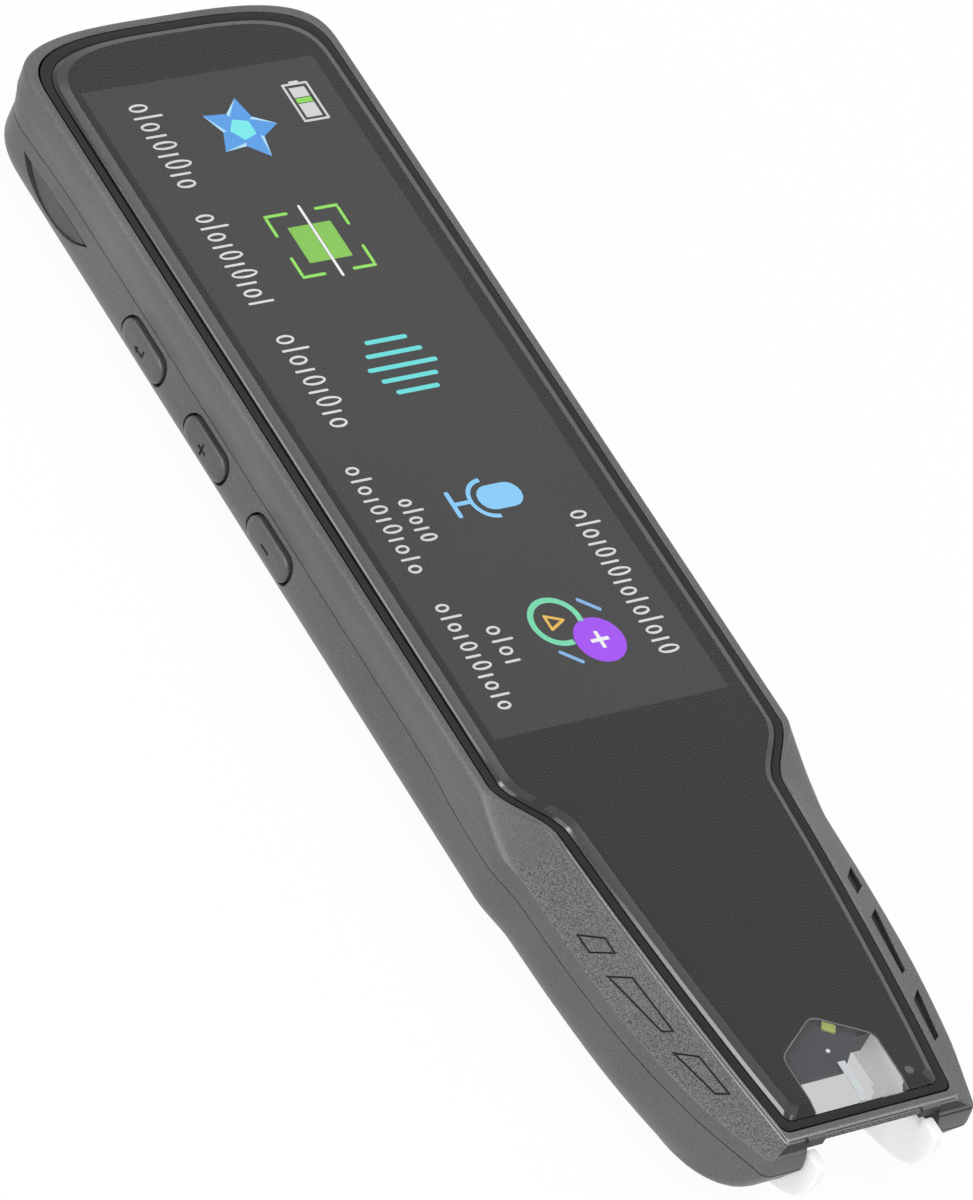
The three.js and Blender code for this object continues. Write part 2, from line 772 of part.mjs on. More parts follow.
// Small stops under the visor, just above the foot's blades
const stopWidth = 2;
const stopLength = 0.9;
const stopInset = 0.9;
const stopOuter = mouthHalfWidth - fitGap / 3;
const stopX = [stopOuter - stopWidth, stopOuter];
const footStep = noseEnd - stopInset;
const stopStations = [footStep - stopLength, footStep];
const stopBottom = 1.95;

function frontShell() {
  const join = [];
  const cut = [plugCut];
  for (const side of [-1, 1]) {
    const x = side < 0 ? [-stopX[1], -stopX[0]] : stopX;
    join.push(block(x, stopStations, [rimDepth + fitGap, stopBottom]));
    for (const shares of pocketShares) cut.push(pocketCut(side, shares));
  }
  const opened = shaped(loft(frontShellRings(), true), { cut: [mouthCut] });
  return shaped(opened, { join, cut });
}

addPiece('front_shell', frontShell(), finishes.shellGrey);

// Black frame that seats the glass
const ledgeWidth = 1.05;
const seatReach = 1.3;
const frameOuter = fitGap;
const frameStep = ledgeWidth - fitGap;
const frameInner = ledgeWidth + seatReach;
const frameRings = [
  rimRing(frameOuter, rimDepth),
  rimRing(frameStep, rimDepth),
  rimRing(frameStep, printBottom),
  rimRing(frameInner, printBottom),
  rimRing(frameInner, shelfTop),
  rimRing(frameOuter, shelfTop),
];
addPiece('bezel_frame', loft(frameRings, true), finishes.frameBlack);

// Cover glass with its rounded edge
const edgeRoundWidth = 0.9;
const edgeRoundDrop = 0.35;
const edgeRoundSteps = 4;
const glassRings = [rimRing(ledgeWidth, glassThickness)];
for (let i = 0; i <= edgeRoundSteps; i++) {
  const angle = (Math.PI / 2) * (i / edgeRoundSteps);
  glassRings.push(rimRing(
    ledgeWidth + edgeRoundWidth * (1 - Math.cos(angle)),
    edgeRoundDrop * (1 - Math.sin(angle)),
  ));
}
addPiece('cover_glass', loft(glassRings, false), finishes.glass);

// Black print under the glass, open over the screen, the viewing window and the light sensor
const screenInset = 3.25;
const screenTop = 7.6;
const screenGap = 4.3;
const screenHalfWidth = rimHalfWidth - screenInset;
const screenOpeningX = [-screenHalfWidth, screenHalfWidth];
const screenOpeningStations = [screenTop, rimShoulderStart - screenGap];
const windowInset = 3.9;
const windowEndInset = 1.2;
const windowStraightLength = 6.2;
const windowPointLength = 3.3;
const windowHalfWidth = rimTipHalfWidth - windowInset;
const windowEnd = rimEnd - windowEndInset;
const windowShoulder = windowEnd - windowStraightLength;
const windowApex = windowShoulder - windowPointLength;
const windowCorner = 0.9;
const sensorInset = 2.85;
const sensorSetback = 2.9;
const sensorX = rimTipHalfWidth - sensorInset;
const sensorStation = rimEnd - sensorSetback;
const sensorRadius = 0.45;
const sensorHalfWidth = 0.5;
const sensorThickness = 0.3;

// A polygon with rounded corners, from points given as [x, station]
function roundedPolygon(points, radius, steps = 3) {
  const corners = points.map(([x, station]) => new THREE.Vector2(x, along(station)));
  const outline = [];
  corners.forEach((corner, i) => {
    const before = corners[(i + corners.length - 1) % corners.length];
    const after = corners[(i + 1) % corners.length];
    const start = corner.clone().add(before.clone().sub(corner).setLength(radius));
    const end = corner.clone().add(after.clone().sub(corner).setLength(radius));
    const bend = new THREE.QuadraticBezierCurve(start, corner, end);
    outline.push(...bend.getPoints(steps));
  });
  return outline;
}

function printHoles() {
  const [left, right] = screenOpeningX;
  const [top, bottom] = screenOpeningStations;
  const screenCorners = [[left, top], [right, top], [right, bottom], [left, bottom]];
  const screenHole = roundedPolygon(screenCorners, windowCorner);
  const windowHole = roundedPolygon([
    [0, windowApex],
    [windowHalfWidth, windowShoulder],
    [windowHalfWidth, windowEnd],
    [-windowHalfWidth, windowEnd],
    [-windowHalfWidth, windowShoulder],
  ], windowCorner);
  const overrun = [glassThickness - cutOverrun, printBottom + cutOverrun];
  const holeCut = (outline) => new THREE.ExtrudeGeometry(new THREE.Shape(outline), {
    depth: overrun[1] - overrun[0],
    bevelEnabled: false,
  }).translate(0, 0, height(overrun[1]));
  return [holeCut(screenHole), holeCut(windowHole), post(sensorX, sensorStation, sensorRadius, overrun)];
}

const printRings = [rimRing(ledgeWidth + fitGap, printBottom), rimRing(ledgeWidth + fitGap, glassThickness)];
addPiece('front_print', shaped(loft(printRings, false), { cut: printHoles() }), finishes.print);

// Guide line in the viewing window, printed on the glass's underside
const guideLineX = 0.2;
const guideLineHalfWidth = 0.4;
const guideLineLength = 4.1;
const guideLineEnd = windowEnd - fitGap;
const guideLineStations = [guideLineEnd - guideLineLength, guideLineEnd];
addPiece(
  'guide_line',
  block(around(guideLineX, guideLineHalfWidth), guideLineStations, [glassThickness, printBottom]),
  finishes.footWhite,
);

// Light sensor behind its hole in the print
addPiece(
  'light_sensor',
  block(
    around(sensorX, sensorHalfWidth),
    around(sensorStation, sensorHalfWidth),
    [printBottom, printBottom + sensorThickness],
  ),
  finishes.darkPlastic,
);

// Touch layer, screen and backlight, stacked under the glass
const screenBorder = 0.5;
const screenUpperBorder = 0.8;
const screenLowerBorder = 2.6;
const screenX = grown(screenOpeningX, screenBorder);
const screenStations = [
  screenOpeningStations[0] - screenUpperBorder,
  screenOpeningStations[1] + screenLowerBorder,
];
const screenCorner = 0.8;
const screenPlate = (depth) => plate(screenX, screenStations, depth, screenCorner);
addPiece('touch_film', screenPlate([printBottom, touchBottom]), finishes.screen);
addPiece('lcd_panel', screenPlate([touchBottom, screenBottom]), finishes.screen);
addPiece('backlight', screenPlate([screenBottom, backlightBottom]), finishes.lightGrey);

// Main board on its four bosses, with a narrower tongue towards the top end
const boardX = [-boardHalfWidth, boardHalfWidth];
const boardStart = 12;
const boardSetback = 32.3;
const boardStations = [boardStart, noseEnd - boardSetback];
const tongueHalfWidth = 9;
const tongueStart = 3.3;
const boardCorner = 1.2;

function mainBoard() {
  const thickness = [boardTop, boardBottom];
  const tongueStations = [tongueStart, boardStations[0] + boardCorner];
  const tongue = plate(around(0, tongueHalfWidth), tongueStations, thickness, boardCorner);
  const through = grown(thickness, cutOverrun);
  const holes = bossPlaces.map(([x, station]) => post(x, station, screwHole, through, 12));
  return shaped(plate(boardX, boardStations, thickness, boardCorner), { join: [tongue], cut: holes });
}

addPiece('main_board', mainBoard(), finishes.boardGreen);

// Screws of the board
bossPlaces.forEach(([x, station], i) => {
  const head = post(x, station, screwHeadRadius, [boardTop - screwHeadHeight, boardTop], 12);
  const shank = post(x, station, screwRadius, [boardTop - screwHeadHeight / 2, boardBottom + screwReach], 10);
  const slotDepths = [boardTop - screwHeadHeight - cutOverrun, boardTop - screwHeadHeight + crossSlotSink];
  const cut = [
    block(around(x, crossSlotLength / 2), around(station, crossSlotWidth / 2), slotDepths),
    block(around(x, crossSlotWidth / 2), around(station, crossSlotLength / 2), slotDepths),
  ];
  addPiece(`board_screw_${i + 1}`, shaped(head, { join: [shank], cut }), finishes.steel);
});

// Shield over the processor, with a foam pad that presses the screen against the glass
const shieldHalfWidth = 8.8;
const shieldStart = 34;
const shieldLength = 21;
const shieldX = [-shieldHalfWidth, shieldHalfWidth];
const shieldStations = [shieldStart, shieldStart + shieldLength];
const shieldCorner = 1;
const padInset = 1.5;
addPiece('cpu_shield', plate(shieldX, shieldStations, [padBottom, boardTop], shieldCorner), finishes.steel);
const padX = grown(shieldX, -padInset);
const padStations = grown(shieldStations, -padInset);
addPiece('screen_pad', plate(padX, padStations, [backlightBottom, padBottom], shieldCorner), finishes.foam);

// Screen ribbon: it leaves the screen's end, turns back and ends in a socket on the board
const ribbonHalfWidth = 6;
const ribbonThickness = 0.15;
const ribbonDepth = 1.3;
const ribbonStraightLength = 1.9;
const ribbonReturnLength = 2.6;
const ribbonTurn = screenStations[1] + ribbonStraightLength;
const ribbonEnd = screenStations[1] - ribbonReturnLength;
const ribbonSocketOverlap = 2.2;
const ribbonSocketBack = 0.6;
const ribbonSocketHalfWidth = 5.2;
const ribbonSocketHeight = 0.4;

function screenRibbon() {
  const lower = boardTop - ribbonSocketHeight - ribbonThickness;
  const outer = (lower + ribbonThickness - ribbonDepth) / 2;
  const inner = outer - ribbonThickness;
  const middle = height(ribbonDepth + outer);
  const shape = new THREE.Shape();
  shape.moveTo(along(screenStations[1]), middle + outer);
  shape.lineTo(along(ribbonTurn), middle + outer);
  shape.absarc(along(ribbonTurn), middle, outer, Math.PI / 2, Math.PI * 1.5, false);
  shape.lineTo(along(ribbonEnd), middle - outer);
  shape.lineTo(along(ribbonEnd), middle - inner);
  shape.lineTo(along(ribbonTurn), middle - inner);
  shape.absarc(along(ribbonTurn), middle, inner, Math.PI * 1.5, Math.PI / 2, true);
  shape.lineTo(along(screenStations[1]), middle + inner);
  return acrossPen(shape, around(0, ribbonHalfWidth), stationZero, penThickness);
}

addPiece('screen_ribbon', screenRibbon(), finishes.lampYellow);
addPiece(
  'ribbon_socket',
  block(
    around(0, ribbonSocketHalfWidth),
    [ribbonEnd - ribbonSocketBack, ribbonEnd + ribbonSocketOverlap],
    [boardTop - ribbonSocketHeight, boardTop],
  ),
  finishes.darkPlastic,
);

// Aerial on the board's tongue
const aerialInset = 0.8;
const aerialLength = 7.2;
const aerialWidth = 2.6;
const aerialHeight = 1;
const aerialEnd = tongueHalfWidth - aerialInset;
const aerialX = [aerialEnd - aerialLength, aerialEnd];
const aerialStations = [tongueStart + aerialInset, tongueStart + aerialInset + aerialWidth];
addPiece('aerial', block(aerialX, aerialStations, [boardTop - aerialHeight, boardTop]), finishes.lightGrey);

// Battery, its protection board and its lead up to the main board
const batterySideInset = 4.85;
const batteryStart = 64;
const batteryEndInset = 1.5;
const batteryBottomGap = 0.3;
const batteryThickness = 4.4;
const batteryHalfWidth = bodyHalfWidth - batterySideInset;
const batteryX = [-batteryHalfWidth, batteryHalfWidth];
const batteryStations = [batteryStart, boardStations[1] - batteryEndInset];
const batteryBottom = floorDepth - batteryBottomGap;
const batteryDepths = [batteryBottom - batteryThickness, batteryBottom];
const batteryCorner = 1.4;
const tapeInset = 2;
const cellBoardThickness = 1.6;
const cellBoardInset = 0.8;
const leadMiddle = 4.5;
const leadHalfWidth = 1.5;
const leadThickness = 1;
const cellBoardHalfWidth = batteryHalfWidth - cellBoardInset;
const cellBoardStart = batteryStations[0] - cellBoardThickness;
const cellBoardDepths = grown(batteryDepths, -cellBoardInset);
addPiece('battery', plate(batteryX, batteryStations, batteryDepths, batteryCorner), finishes.cellSilver);
const tapeX = grown(batteryX, -tapeInset);
const tapeStations = grown(batteryStations, -tapeInset);
const tapeDepths = [batteryDepths[1], floorDepth];
addPiece('battery_tape', plate(tapeX, tapeStations, tapeDepths, batteryCorner), finishes.foam);
addPiece(
  'battery_board',
  block(around(0, cellBoardHalfWidth), [cellBoardStart, batteryStations[0]], cellBoardDepths),
  finishes.boardGreen,
);
addPiece(
  'battery_lead',
  block(
    around(leadMiddle, leadHalfWidth),
    [cellBoardStart - leadThickness, cellBoardStart],
    [boardBottom, cellBoardDepths[1]],
  ),
  finishes.foam,
);

// Speaker with the recess of its cone, on a gasket round the slots
const coneRadius = 4.6;
const coneSink = 0.8;
const speakerX = around(0, speakerHalfWidth);
const speakerBody = plate(speakerX, speakerStations, [gasketTop - speakerHeight, gasketTop], speakerCorner);
const coneCut = post(0, speakerMiddle, coneRadius, [gasketTop - coneSink, gasketTop + cutOverrun], 20);
addPiece('speaker', shaped(speakerBody, { cut: [coneCut] }), finishes.darkPlastic);

const gasketOuter = plate(speakerX, speakerStations, [gasketTop, floorDepth], speakerCorner);
const gasketHole = plate(
  grown(speakerX, -gasketWidth),
  grown(speakerStations, -gasketWidth),
  [gasketTop - cutOverrun, floorDepth + cutOverrun],
  speakerCorner,
);
addPiece('speaker_gasket', shaped(gasketOuter, { cut: [gasketHole] }), finishes.foam);

// Charging socket: a pill-shaped shell with a contact tongue
const contactHalfWidth = 3.3;
const contactThickness = 0.7;
const contactSetback = 0.9;

function chargingSocket() {
  const shell = alongPen(pill(socketWidth, socketHeight), 0, socketStations, socketDepth);
  const cavity = alongPen(
    pill(socketWidth - 2 * socketWall, socketHeight - 2 * socketWall),
    0,
    [socketStations[0] - cutOverrun, socketStations[1] - socketBack],
    socketDepth,
  );
  const contact = block(
    around(0, contactHalfWidth),
    [socketStations[0] + contactSetback, socketStations[1] - socketBack / 2],
    around(socketDepth, contactThickness / 2),
  );
  return shaped(shaped(shell, { cut: [cavity] }), { join: [contact] });
}

addPiece('charging_socket', chargingSocket(), finishes.steel);
addPiece(
  'microphone',
  block(microphoneX, microphoneStations, [boardBottom, boardBottom + microphoneHeight]),
  finishes.steel,
);

// Key board along the side, its switches, and the keys with their plungers
const keyBoardThickness = 0.6;
const keyBoardReach = 4.1;
const keyBoardStations = grown([powerStation, firstKeyStation + 2 * keyPitch], keyBoardReach);
const keyBoardBottom = 10;
const switchLength = 1.4;
const switchHalfWidth = 1.6;
const switchBore = 1.1;
const switchBoreSink = 1;
const plungerRadius = 0.75;
const switchFace = flangeInner + keyTravel + slideGap;
const plungerGap = keyTravel + fitGap;
const plungerTip = switchFace + switchBoreSink - plungerGap;
const keyBoardOuter = switchFace + switchLength;

addPiece(
  'key_board',
  block([keyBoardOuter, keyBoardOuter + keyBoardThickness], keyBoardStations, [boardBottom, keyBoardBottom]),
  finishes.boardGreen,
);

// The marks that are sunk in the three keys: a bent arrow, a plus and a minus
const markLength = 1.4;
const markWidth = 0.25;
const arrowHead = 0.45;

function markCuts(key) {
  const x = [key.face - cutOverrun, key.face + symbolDepth];
  const level = block(x, around(key.station, markLength / 2), around(keyDepth, markWidth / 2));
  const upright = block(x, around(key.station, markWidth / 2), around(keyDepth, markLength / 2));
  if (key.name === 'minus_key') return [level];
  if (key.name === 'plus_key') return [level, upright];
  const arrow = new THREE.Shape();
  const [reach, half, barb] = [markLength / 2, markWidth / 2, arrowHead];
  arrow.moveTo(reach + barb / 2, 0);
  arrow.lineTo(reach - barb, barb);
  arrow.lineTo(reach - barb, half);
  arrow.lineTo(-reach + 2 * half, half);
  arrow.lineTo(-reach + 2 * half, reach);
  arrow.lineTo(-reach, reach);
  arrow.lineTo(-reach, -half);
  arrow.lineTo(reach - barb, -half);
  arrow.lineTo(reach - barb, -barb);
  return [acrossPen(arrow, x, key.station, keyDepth + half)];
}

for (const key of keys) {
  const isPower = key.name === 'power_key';
  const cap = acrossPen(key.cap, [key.face, flangeInner], key.station, key.depth, isPower ? 0 : keyBevel);
  const flange = flangePlate(key, [flangeOuter, flangeInner], 0);
  const cut = isPower ? [] : markCuts(key);
  addPiece(key.name, shaped(flange, { join: [cap], cut }), finishes.keyGrey);

  const plunger = crossRod([flangeInner, plungerTip], key.station, keyDepth, plungerRadius);
  addPiece(`${key.name}_plunger`, plunger, finishes.darkPlastic);

  const body = block(
    [switchFace, keyBoardOuter],
    around(key.station, switchHalfWidth),
    around(keyDepth, switchHalfWidth),
  );
  const boreX = [switchFace - cutOverrun, switchFace + switchBoreSink];
  const bore = crossRod(boreX, key.station, keyDepth, switchBore);
  addPiece(`${key.name}_switch`, shaped(body, { cut: [bore] }), finishes.steel);
}

// Scanning foot: its front edge bulges from the visor down and back to the paper side
const footTop = 2.2;
const bladeTop = 3.2;
const bladeBack = barStations[1] + 2 * slideGap;
const footReach = 8;
const footDepthShares = [0.183, 0.375, 0.592, 0.733, 0.842];
const footEndShares = [0.025, 0, 0.1125, 0.4125, 0.9125];
const footFrontSteps = 10;
const footFront = curveThrough(footDepthShares, footEndShares);

function scanFoot() {
  const shape = new THREE.Shape();
  const at = (station, depth) => [along(station), height(depth)];
  shape.moveTo(...at(barStations[0], barDepths[1]));
  shape.lineTo(...at(barStations[0], barDepths[0]));
  shape.lineTo(...at(bladeBack, barDepths[0]));
  shape.lineTo(...at(bladeBack, bladeTop));
  shape.lineTo(...at(footStep, bladeTop));
  shape.lineTo(...at(footStep, footTop));
  const lowest = penThickness * footDepthShares[footDepthShares.length - 1];
  for (let i = 0; i <= footFrontSteps; i++) {
    const depth = between(footTop, lowest, i / footFrontSteps);
    shape.lineTo(...at(penLength - footReach * footFront(depth / penThickness), depth));
  }
  shape.lineTo(...at(mouthStart, barDepths[1]));
  const blade = (x) => acrossPen(shape, x, stationZero, penThickness);
  const bar = block([-bladeOuter, bladeOuter], barStations, barDepths);
  return shaped(bar, { join: [blade([bladeInner, bladeOuter]), blade([-bladeOuter, -bladeInner])] });
}

addPiece('scan_foot', scanFoot(), finishes.footWhite);

// Foot switch on the floor, with a plunger that the foot pushes
const footSwitchHalfWidth = 1.9;
const footSwitchLength = 3.8;
const footSwitchEnd = barStations[0] - footTravel - slideGap;
const footSwitchStations = [footSwitchEnd - footSwitchLength, footSwitchEnd];
const footSwitchTop = 8.6;
const footBoreSink = 1.4;
const footPlungerGap = footTravel + fitGap;
const footSwitchBore = 0.95;
const footPlungerRadius = 0.6;
const footSwitchDepth = (footSwitchTop + floorDepth) / 2;
const footSwitchBody = block(around(0, footSwitchHalfWidth), footSwitchStations, [footSwitchTop, floorDepth]);
const footSwitchMouth = [footSwitchStations[1] - footBoreSink, footSwitchStations[1] + cutOverrun];
addPiece(
  'foot_switch',
  shaped(footSwitchBody, { cut: [rod(0, footSwitchDepth, footSwitchBore, footSwitchMouth)] }),
  finishes.darkPlastic,
);
addPiece(
  'foot_plunger',
  rod(0, footSwitchDepth, footPlungerRadius, [footSwitchMouth[0] + footPlungerGap, barStations[0]], 10),
  finishes.footWhite,
);

// Return springs of the foot
class Helix extends THREE.Curve {
  constructor(radius, length, turns) {
    super();
    Object.assign(this, { radius, length, turns });
  }

  getPoint(t, target = new THREE.Vector3()) {
    const angle = 2 * Math.PI * this.turns * t;
    return target.set(this.radius * Math.cos(angle), this.length * t, this.radius * Math.sin(angle));
  }
}

const springSteps = 8;
const wireSides = 5;

function footSpring(x) {
  const wire = new THREE.Shape();
  for (let i = 0; i < wireSides; i++) {
    const angle = (2 * Math.PI * i) / wireSides;
    const point = [springWire * Math.cos(angle), springWire * Math.sin(angle)];
    if (i === 0) wire.moveTo(...point);
    else wire.lineTo(...point);
  }
  const path = new Helix(springRadius, springReach - 2 * springWire, springTurns);
  const coil = new THREE.ExtrudeGeometry(wire, { steps: springTurns * springSteps, extrudePath: path });
  return coil.translate(x, along(barStations[0] - springWire), height(springDepth));
}

for (const [name, x] of [['left', -springX], ['right', springX]]) {
  addPiece(`foot_spring_${name}`, footSpring(x), finishes.steel);
}

// Camera: housing, lens barrel and lens, and the board behind it with its ribbon
const lensDepth = 4.7;
const barrelRadius = 2.1;
const barrelLength = 4.2;
const barrelStations = [mouthStart, mouthStart + barrelLength];
const lensRadius = 1.3;
const lensRecess = 1.6;
const lensSink = 0.8;
const lensHeight = 0.5;
const lensSteps = 4;
const maskBottom = 2.3;
const maskTop = 1.5;
const housingBody = block(around(0, cameraHalfWidth), cameraStations, [maskBottom, cameraBottom]);
const housingBoreStations = [barrelStations[0], cameraStations[1] + cutOverrun];
const housingBore = rod(0, lensDepth, barrelRadius + slideGap, housingBoreStations, 20);
addPiece('camera_housing', shaped(housingBody, { cut: [housingBore] }), finishes.darkPlastic);

const barrelBody = rod(0, lensDepth, barrelRadius, barrelStations, 20);
const barrelMouthStations = [barrelStations[1] - lensSink, barrelStations[1] + cutOverrun];
const barrelMouth = rod(0, lensDepth, lensRecess, barrelMouthStations, 20);
addPiece('lens_barrel', shaped(barrelBody, { cut: [barrelMouth] }), finishes.frameBlack);

const lensProfile = [new THREE.Vector2(0, 0), new THREE.Vector2(lensRadius, 0)];
for (let i = 1; i <= lensSteps; i++) {
  const angle = (Math.PI / 2) * (i / lensSteps);
  const x = i === lensSteps ? 0 : lensRadius * Math.cos(angle);
  lensProfile.push(new THREE.Vector2(x, lensHeight * Math.sin(angle)));
}
const lensGeometry = new THREE.LatheGeometry(lensProfile, 16).rotateX(Math.PI);
lensGeometry.translate(0, along(barrelStations[1] - lensSink), height(lensDepth));
addPiece('lens', lensGeometry, finishes.glass);

const cameraBoardBorder = 0.7;
const cameraBoardHalfWidth = cameraHalfWidth + cameraBoardBorder;
const cameraBoardThickness = 0.8;
const cameraBoardTopInset = 0.2;
const cameraBoardBottomInset = 0.1;
const cameraBoardDepths = [maskBottom + cameraBoardTopInset, cameraBottom - cameraBoardBottomInset];
const sensorRibbonHalfWidth = 3;
const sensorRibbonOverlap = 5;
const sensorRibbonStart = boardStations[1] - sensorRibbonOverlap;
const sensorRibbonThickness = 0.15;
const cameraBoardStations = [cameraStations[0] - cameraBoardThickness, cameraStations[0]];
addPiece(
  'camera_board',
  block(around(0, cameraBoardHalfWidth), cameraBoardStations, cameraBoardDepths),
  finishes.boardGreen,
);
addPiece(
  'camera_ribbon',
  block(
    around(0, sensorRibbonHalfWidth),
    [sensorRibbonStart, cameraBoardStations[0]],
    [boardTop - sensorRibbonThickness, boardTop],
  ),
  finishes.lampYellow,
);

// Dark plate under the viewing window, with the scanning lamp and a small marker lamp on it
const maskReach = 6.1;
const maskEnd = windowApex + maskReach;
const maskCutX = 0.3;
const maskCutReach = 0.9;
const lampX = 1.3;
const lampReach = 1.5;
const lampStation = windowApex + lampReach;
const lampWidth = 1.3;
const lampLength = 0.9;
const lampTurnDegrees = -35;
const lampHeight = 0.4;
const markerX = -0.15;
const markerReach = 3.75;
const markerStation = windowApex + markerReach;
const markerRadius = 0.2;
const markerHeight = 0.2;

const maskOutline = [
  [-cameraHalfWidth, cameraStations[0]],
  [cameraHalfWidth, cameraStations[0]],
  [cameraHalfWidth, windowApex + maskCutReach],
  [maskCutX, maskEnd],
  [-cameraHalfWidth, maskEnd],
];
const maskShape = new THREE.Shape(maskOutline.map(([x, station]) => new THREE.Vector2(x, along(station))));
const mask = new THREE.ExtrudeGeometry(maskShape, { depth: maskBottom - maskTop, bevelEnabled: false });
addPiece('window_mask', mask.translate(0, 0, height(maskBottom)), finishes.darkPlastic);
const lamp = new THREE.BoxGeometry(lampWidth, lampLength, lampHeight);
lamp.rotateZ(THREE.MathUtils.degToRad(lampTurnDegrees));
lamp.translate(lampX, along(lampStation), height(maskTop - lampHeight / 2));
addPiece('scan_lamp', lamp, finishes.lampYellow);
addPiece(
  'marker_lamp',
  post(markerX, markerStation, markerRadius, [maskTop - markerHeight, maskTop], 10),
  finishes.footWhite,
);

export default penGroup;
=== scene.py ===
# %% [markdown]
# A translation scanner pen, dressed for its picture.
# The pen is a flat grey bar with a long screen, three keys in its side and two white feet at the tip.
# Its working pieces come ready made and stay where they are. This file gives each of them its finish,
# and makes the pieces that show again with fine curves, because the ready ones are built of coarse facets.

# %% Load the pen's pieces
import math

import bmesh
import bpy
from mathutils import Matrix, Vector


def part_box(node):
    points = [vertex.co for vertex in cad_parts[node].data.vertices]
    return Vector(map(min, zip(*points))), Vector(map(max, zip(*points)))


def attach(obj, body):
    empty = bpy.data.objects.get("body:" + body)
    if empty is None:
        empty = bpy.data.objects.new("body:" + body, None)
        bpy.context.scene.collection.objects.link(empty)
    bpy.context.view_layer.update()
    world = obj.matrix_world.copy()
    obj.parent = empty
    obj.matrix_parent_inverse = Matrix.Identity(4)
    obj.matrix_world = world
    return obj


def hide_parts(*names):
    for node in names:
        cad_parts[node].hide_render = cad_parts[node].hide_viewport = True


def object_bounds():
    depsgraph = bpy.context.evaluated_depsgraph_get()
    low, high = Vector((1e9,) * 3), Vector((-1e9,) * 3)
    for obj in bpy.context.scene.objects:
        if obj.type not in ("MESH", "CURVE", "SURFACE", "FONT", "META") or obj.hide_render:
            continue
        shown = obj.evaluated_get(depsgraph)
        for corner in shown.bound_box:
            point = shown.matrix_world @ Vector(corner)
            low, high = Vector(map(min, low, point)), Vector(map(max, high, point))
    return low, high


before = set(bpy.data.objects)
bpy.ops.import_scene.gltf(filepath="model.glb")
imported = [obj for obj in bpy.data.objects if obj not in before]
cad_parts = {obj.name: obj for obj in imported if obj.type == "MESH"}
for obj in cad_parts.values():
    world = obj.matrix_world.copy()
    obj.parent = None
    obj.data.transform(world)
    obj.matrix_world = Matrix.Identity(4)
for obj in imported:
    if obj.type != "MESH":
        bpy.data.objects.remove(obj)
cad_low, cad_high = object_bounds()
print("The pen measures", [round(size * 1000, 2) for size in cad_high - cad_low], "mm")

# %% [markdown]
# The camera looks down on the pen from the side of its keys, turned a little about its own line of sight.
# It could be aimed with an angle and a distance. Here its own right and upward directions are given, because
# the pen lies askew in the picture and a turn about three angles is harder to read.

# %% Camera
LENS, SENSOR = 246.77, 36
CAMERA_PLACE = Vector((-0.42782, -0.34631, 0.5230))
CAMERA_RIGHT = Vector((0.8058, -0.4823, 0.3436)).normalized()
CAMERA_UP = Vector((0.1731, 0.7467, 0.6422)).normalized()


def add_object(name, data):
    made = bpy.data.objects.new(name, data)
    bpy.context.scene.collection.objects.link(made)
    return made


camera = add_object("camera", bpy.data.cameras.new("camera"))
camera.data.lens, camera.data.sensor_width = LENS, SENSOR
camera_back = CAMERA_RIGHT.cross(CAMERA_UP).normalized()
turn = Matrix((CAMERA_RIGHT, camera_back.cross(CAMERA_RIGHT), camera_back)).transposed()
camera.matrix_world = Matrix.Translation(CAMERA_PLACE) @ turn.to_4x4()
bpy.context.scene.camera = camera
bpy.context.scene.view_settings.view_transform = "Standard"
print("The camera stands", round(CAMERA_PLACE.length * 1000), "mm from the pen's middle")

# %% [markdown]
# The pen floats on white in its picture, so the floor and the sky are white where the camera, a reflection
# or a clear piece looks at them. The light on the pen is another matter: a soft sky from all round, and
# five soft lamps. Making the lamps stronger would whiten the floor too, but it would bleach the pen.

# %% Node helpers
def adjust(node, values):
    for name, value in values.items():
        node.inputs[name].default_value = value


def add_node(tree, kind, values=None, **settings):
    """A new shading node with its settings, and with the given values on its inputs."""
    made = tree.nodes.new("ShaderNode" + kind)
    for name, value in settings.items():
        setattr(made, name, value)
    adjust(made, values or {})
    return made


def wire(tree, *links):
    """Joins outputs to inputs. Each link names a node, its output, the next node and its input."""
    for source, output, target, entry in links:
        tree.links.new(source.outputs[output], target.inputs[entry])


def maths(tree, operation, *values):
    """Works on two values, each a number or a node with its output, and gives a node with its output."""
    made = add_node(tree, "Math", operation=operation)
    for i, value in enumerate(values):
        if isinstance(value, tuple):
            wire(tree, (*value, made, i))
        else:
            made.inputs[i].default_value = value
    return made, 0


def seen_plainly(tree):
    """One where the camera, a reflection or a clear piece looks, and zero for the light on the pen."""
    path = add_node(tree, "LightPath")
    bright = maths(tree, "MAXIMUM", (path, "Is Camera Ray"), (path, "Is Glossy Ray"))
    return maths(tree, "MAXIMUM", bright, (path, "Is Transmission Ray"))


def blended(tree, share, first, second):
    """One shader that passes into another by a share."""
    mix = add_node(tree, "MixShader")
    wire(tree, (*share, mix, 0), (first, 0, mix, 1), (second, 0, mix, 2))
    return mix


def new_material(name, values):
    """A material, its nodes and its shader, with the given values on the shader's inputs."""
    made = bpy.data.materials.new(name)
    made.use_nodes = True
    shader = made.node_tree.nodes["Principled BSDF"]
    adjust(shader, values)
    return made, made.node_tree, shader


def show(tree, shader):
    wire(tree, (shader, 0, tree.nodes["Material Output"], "Surface"))


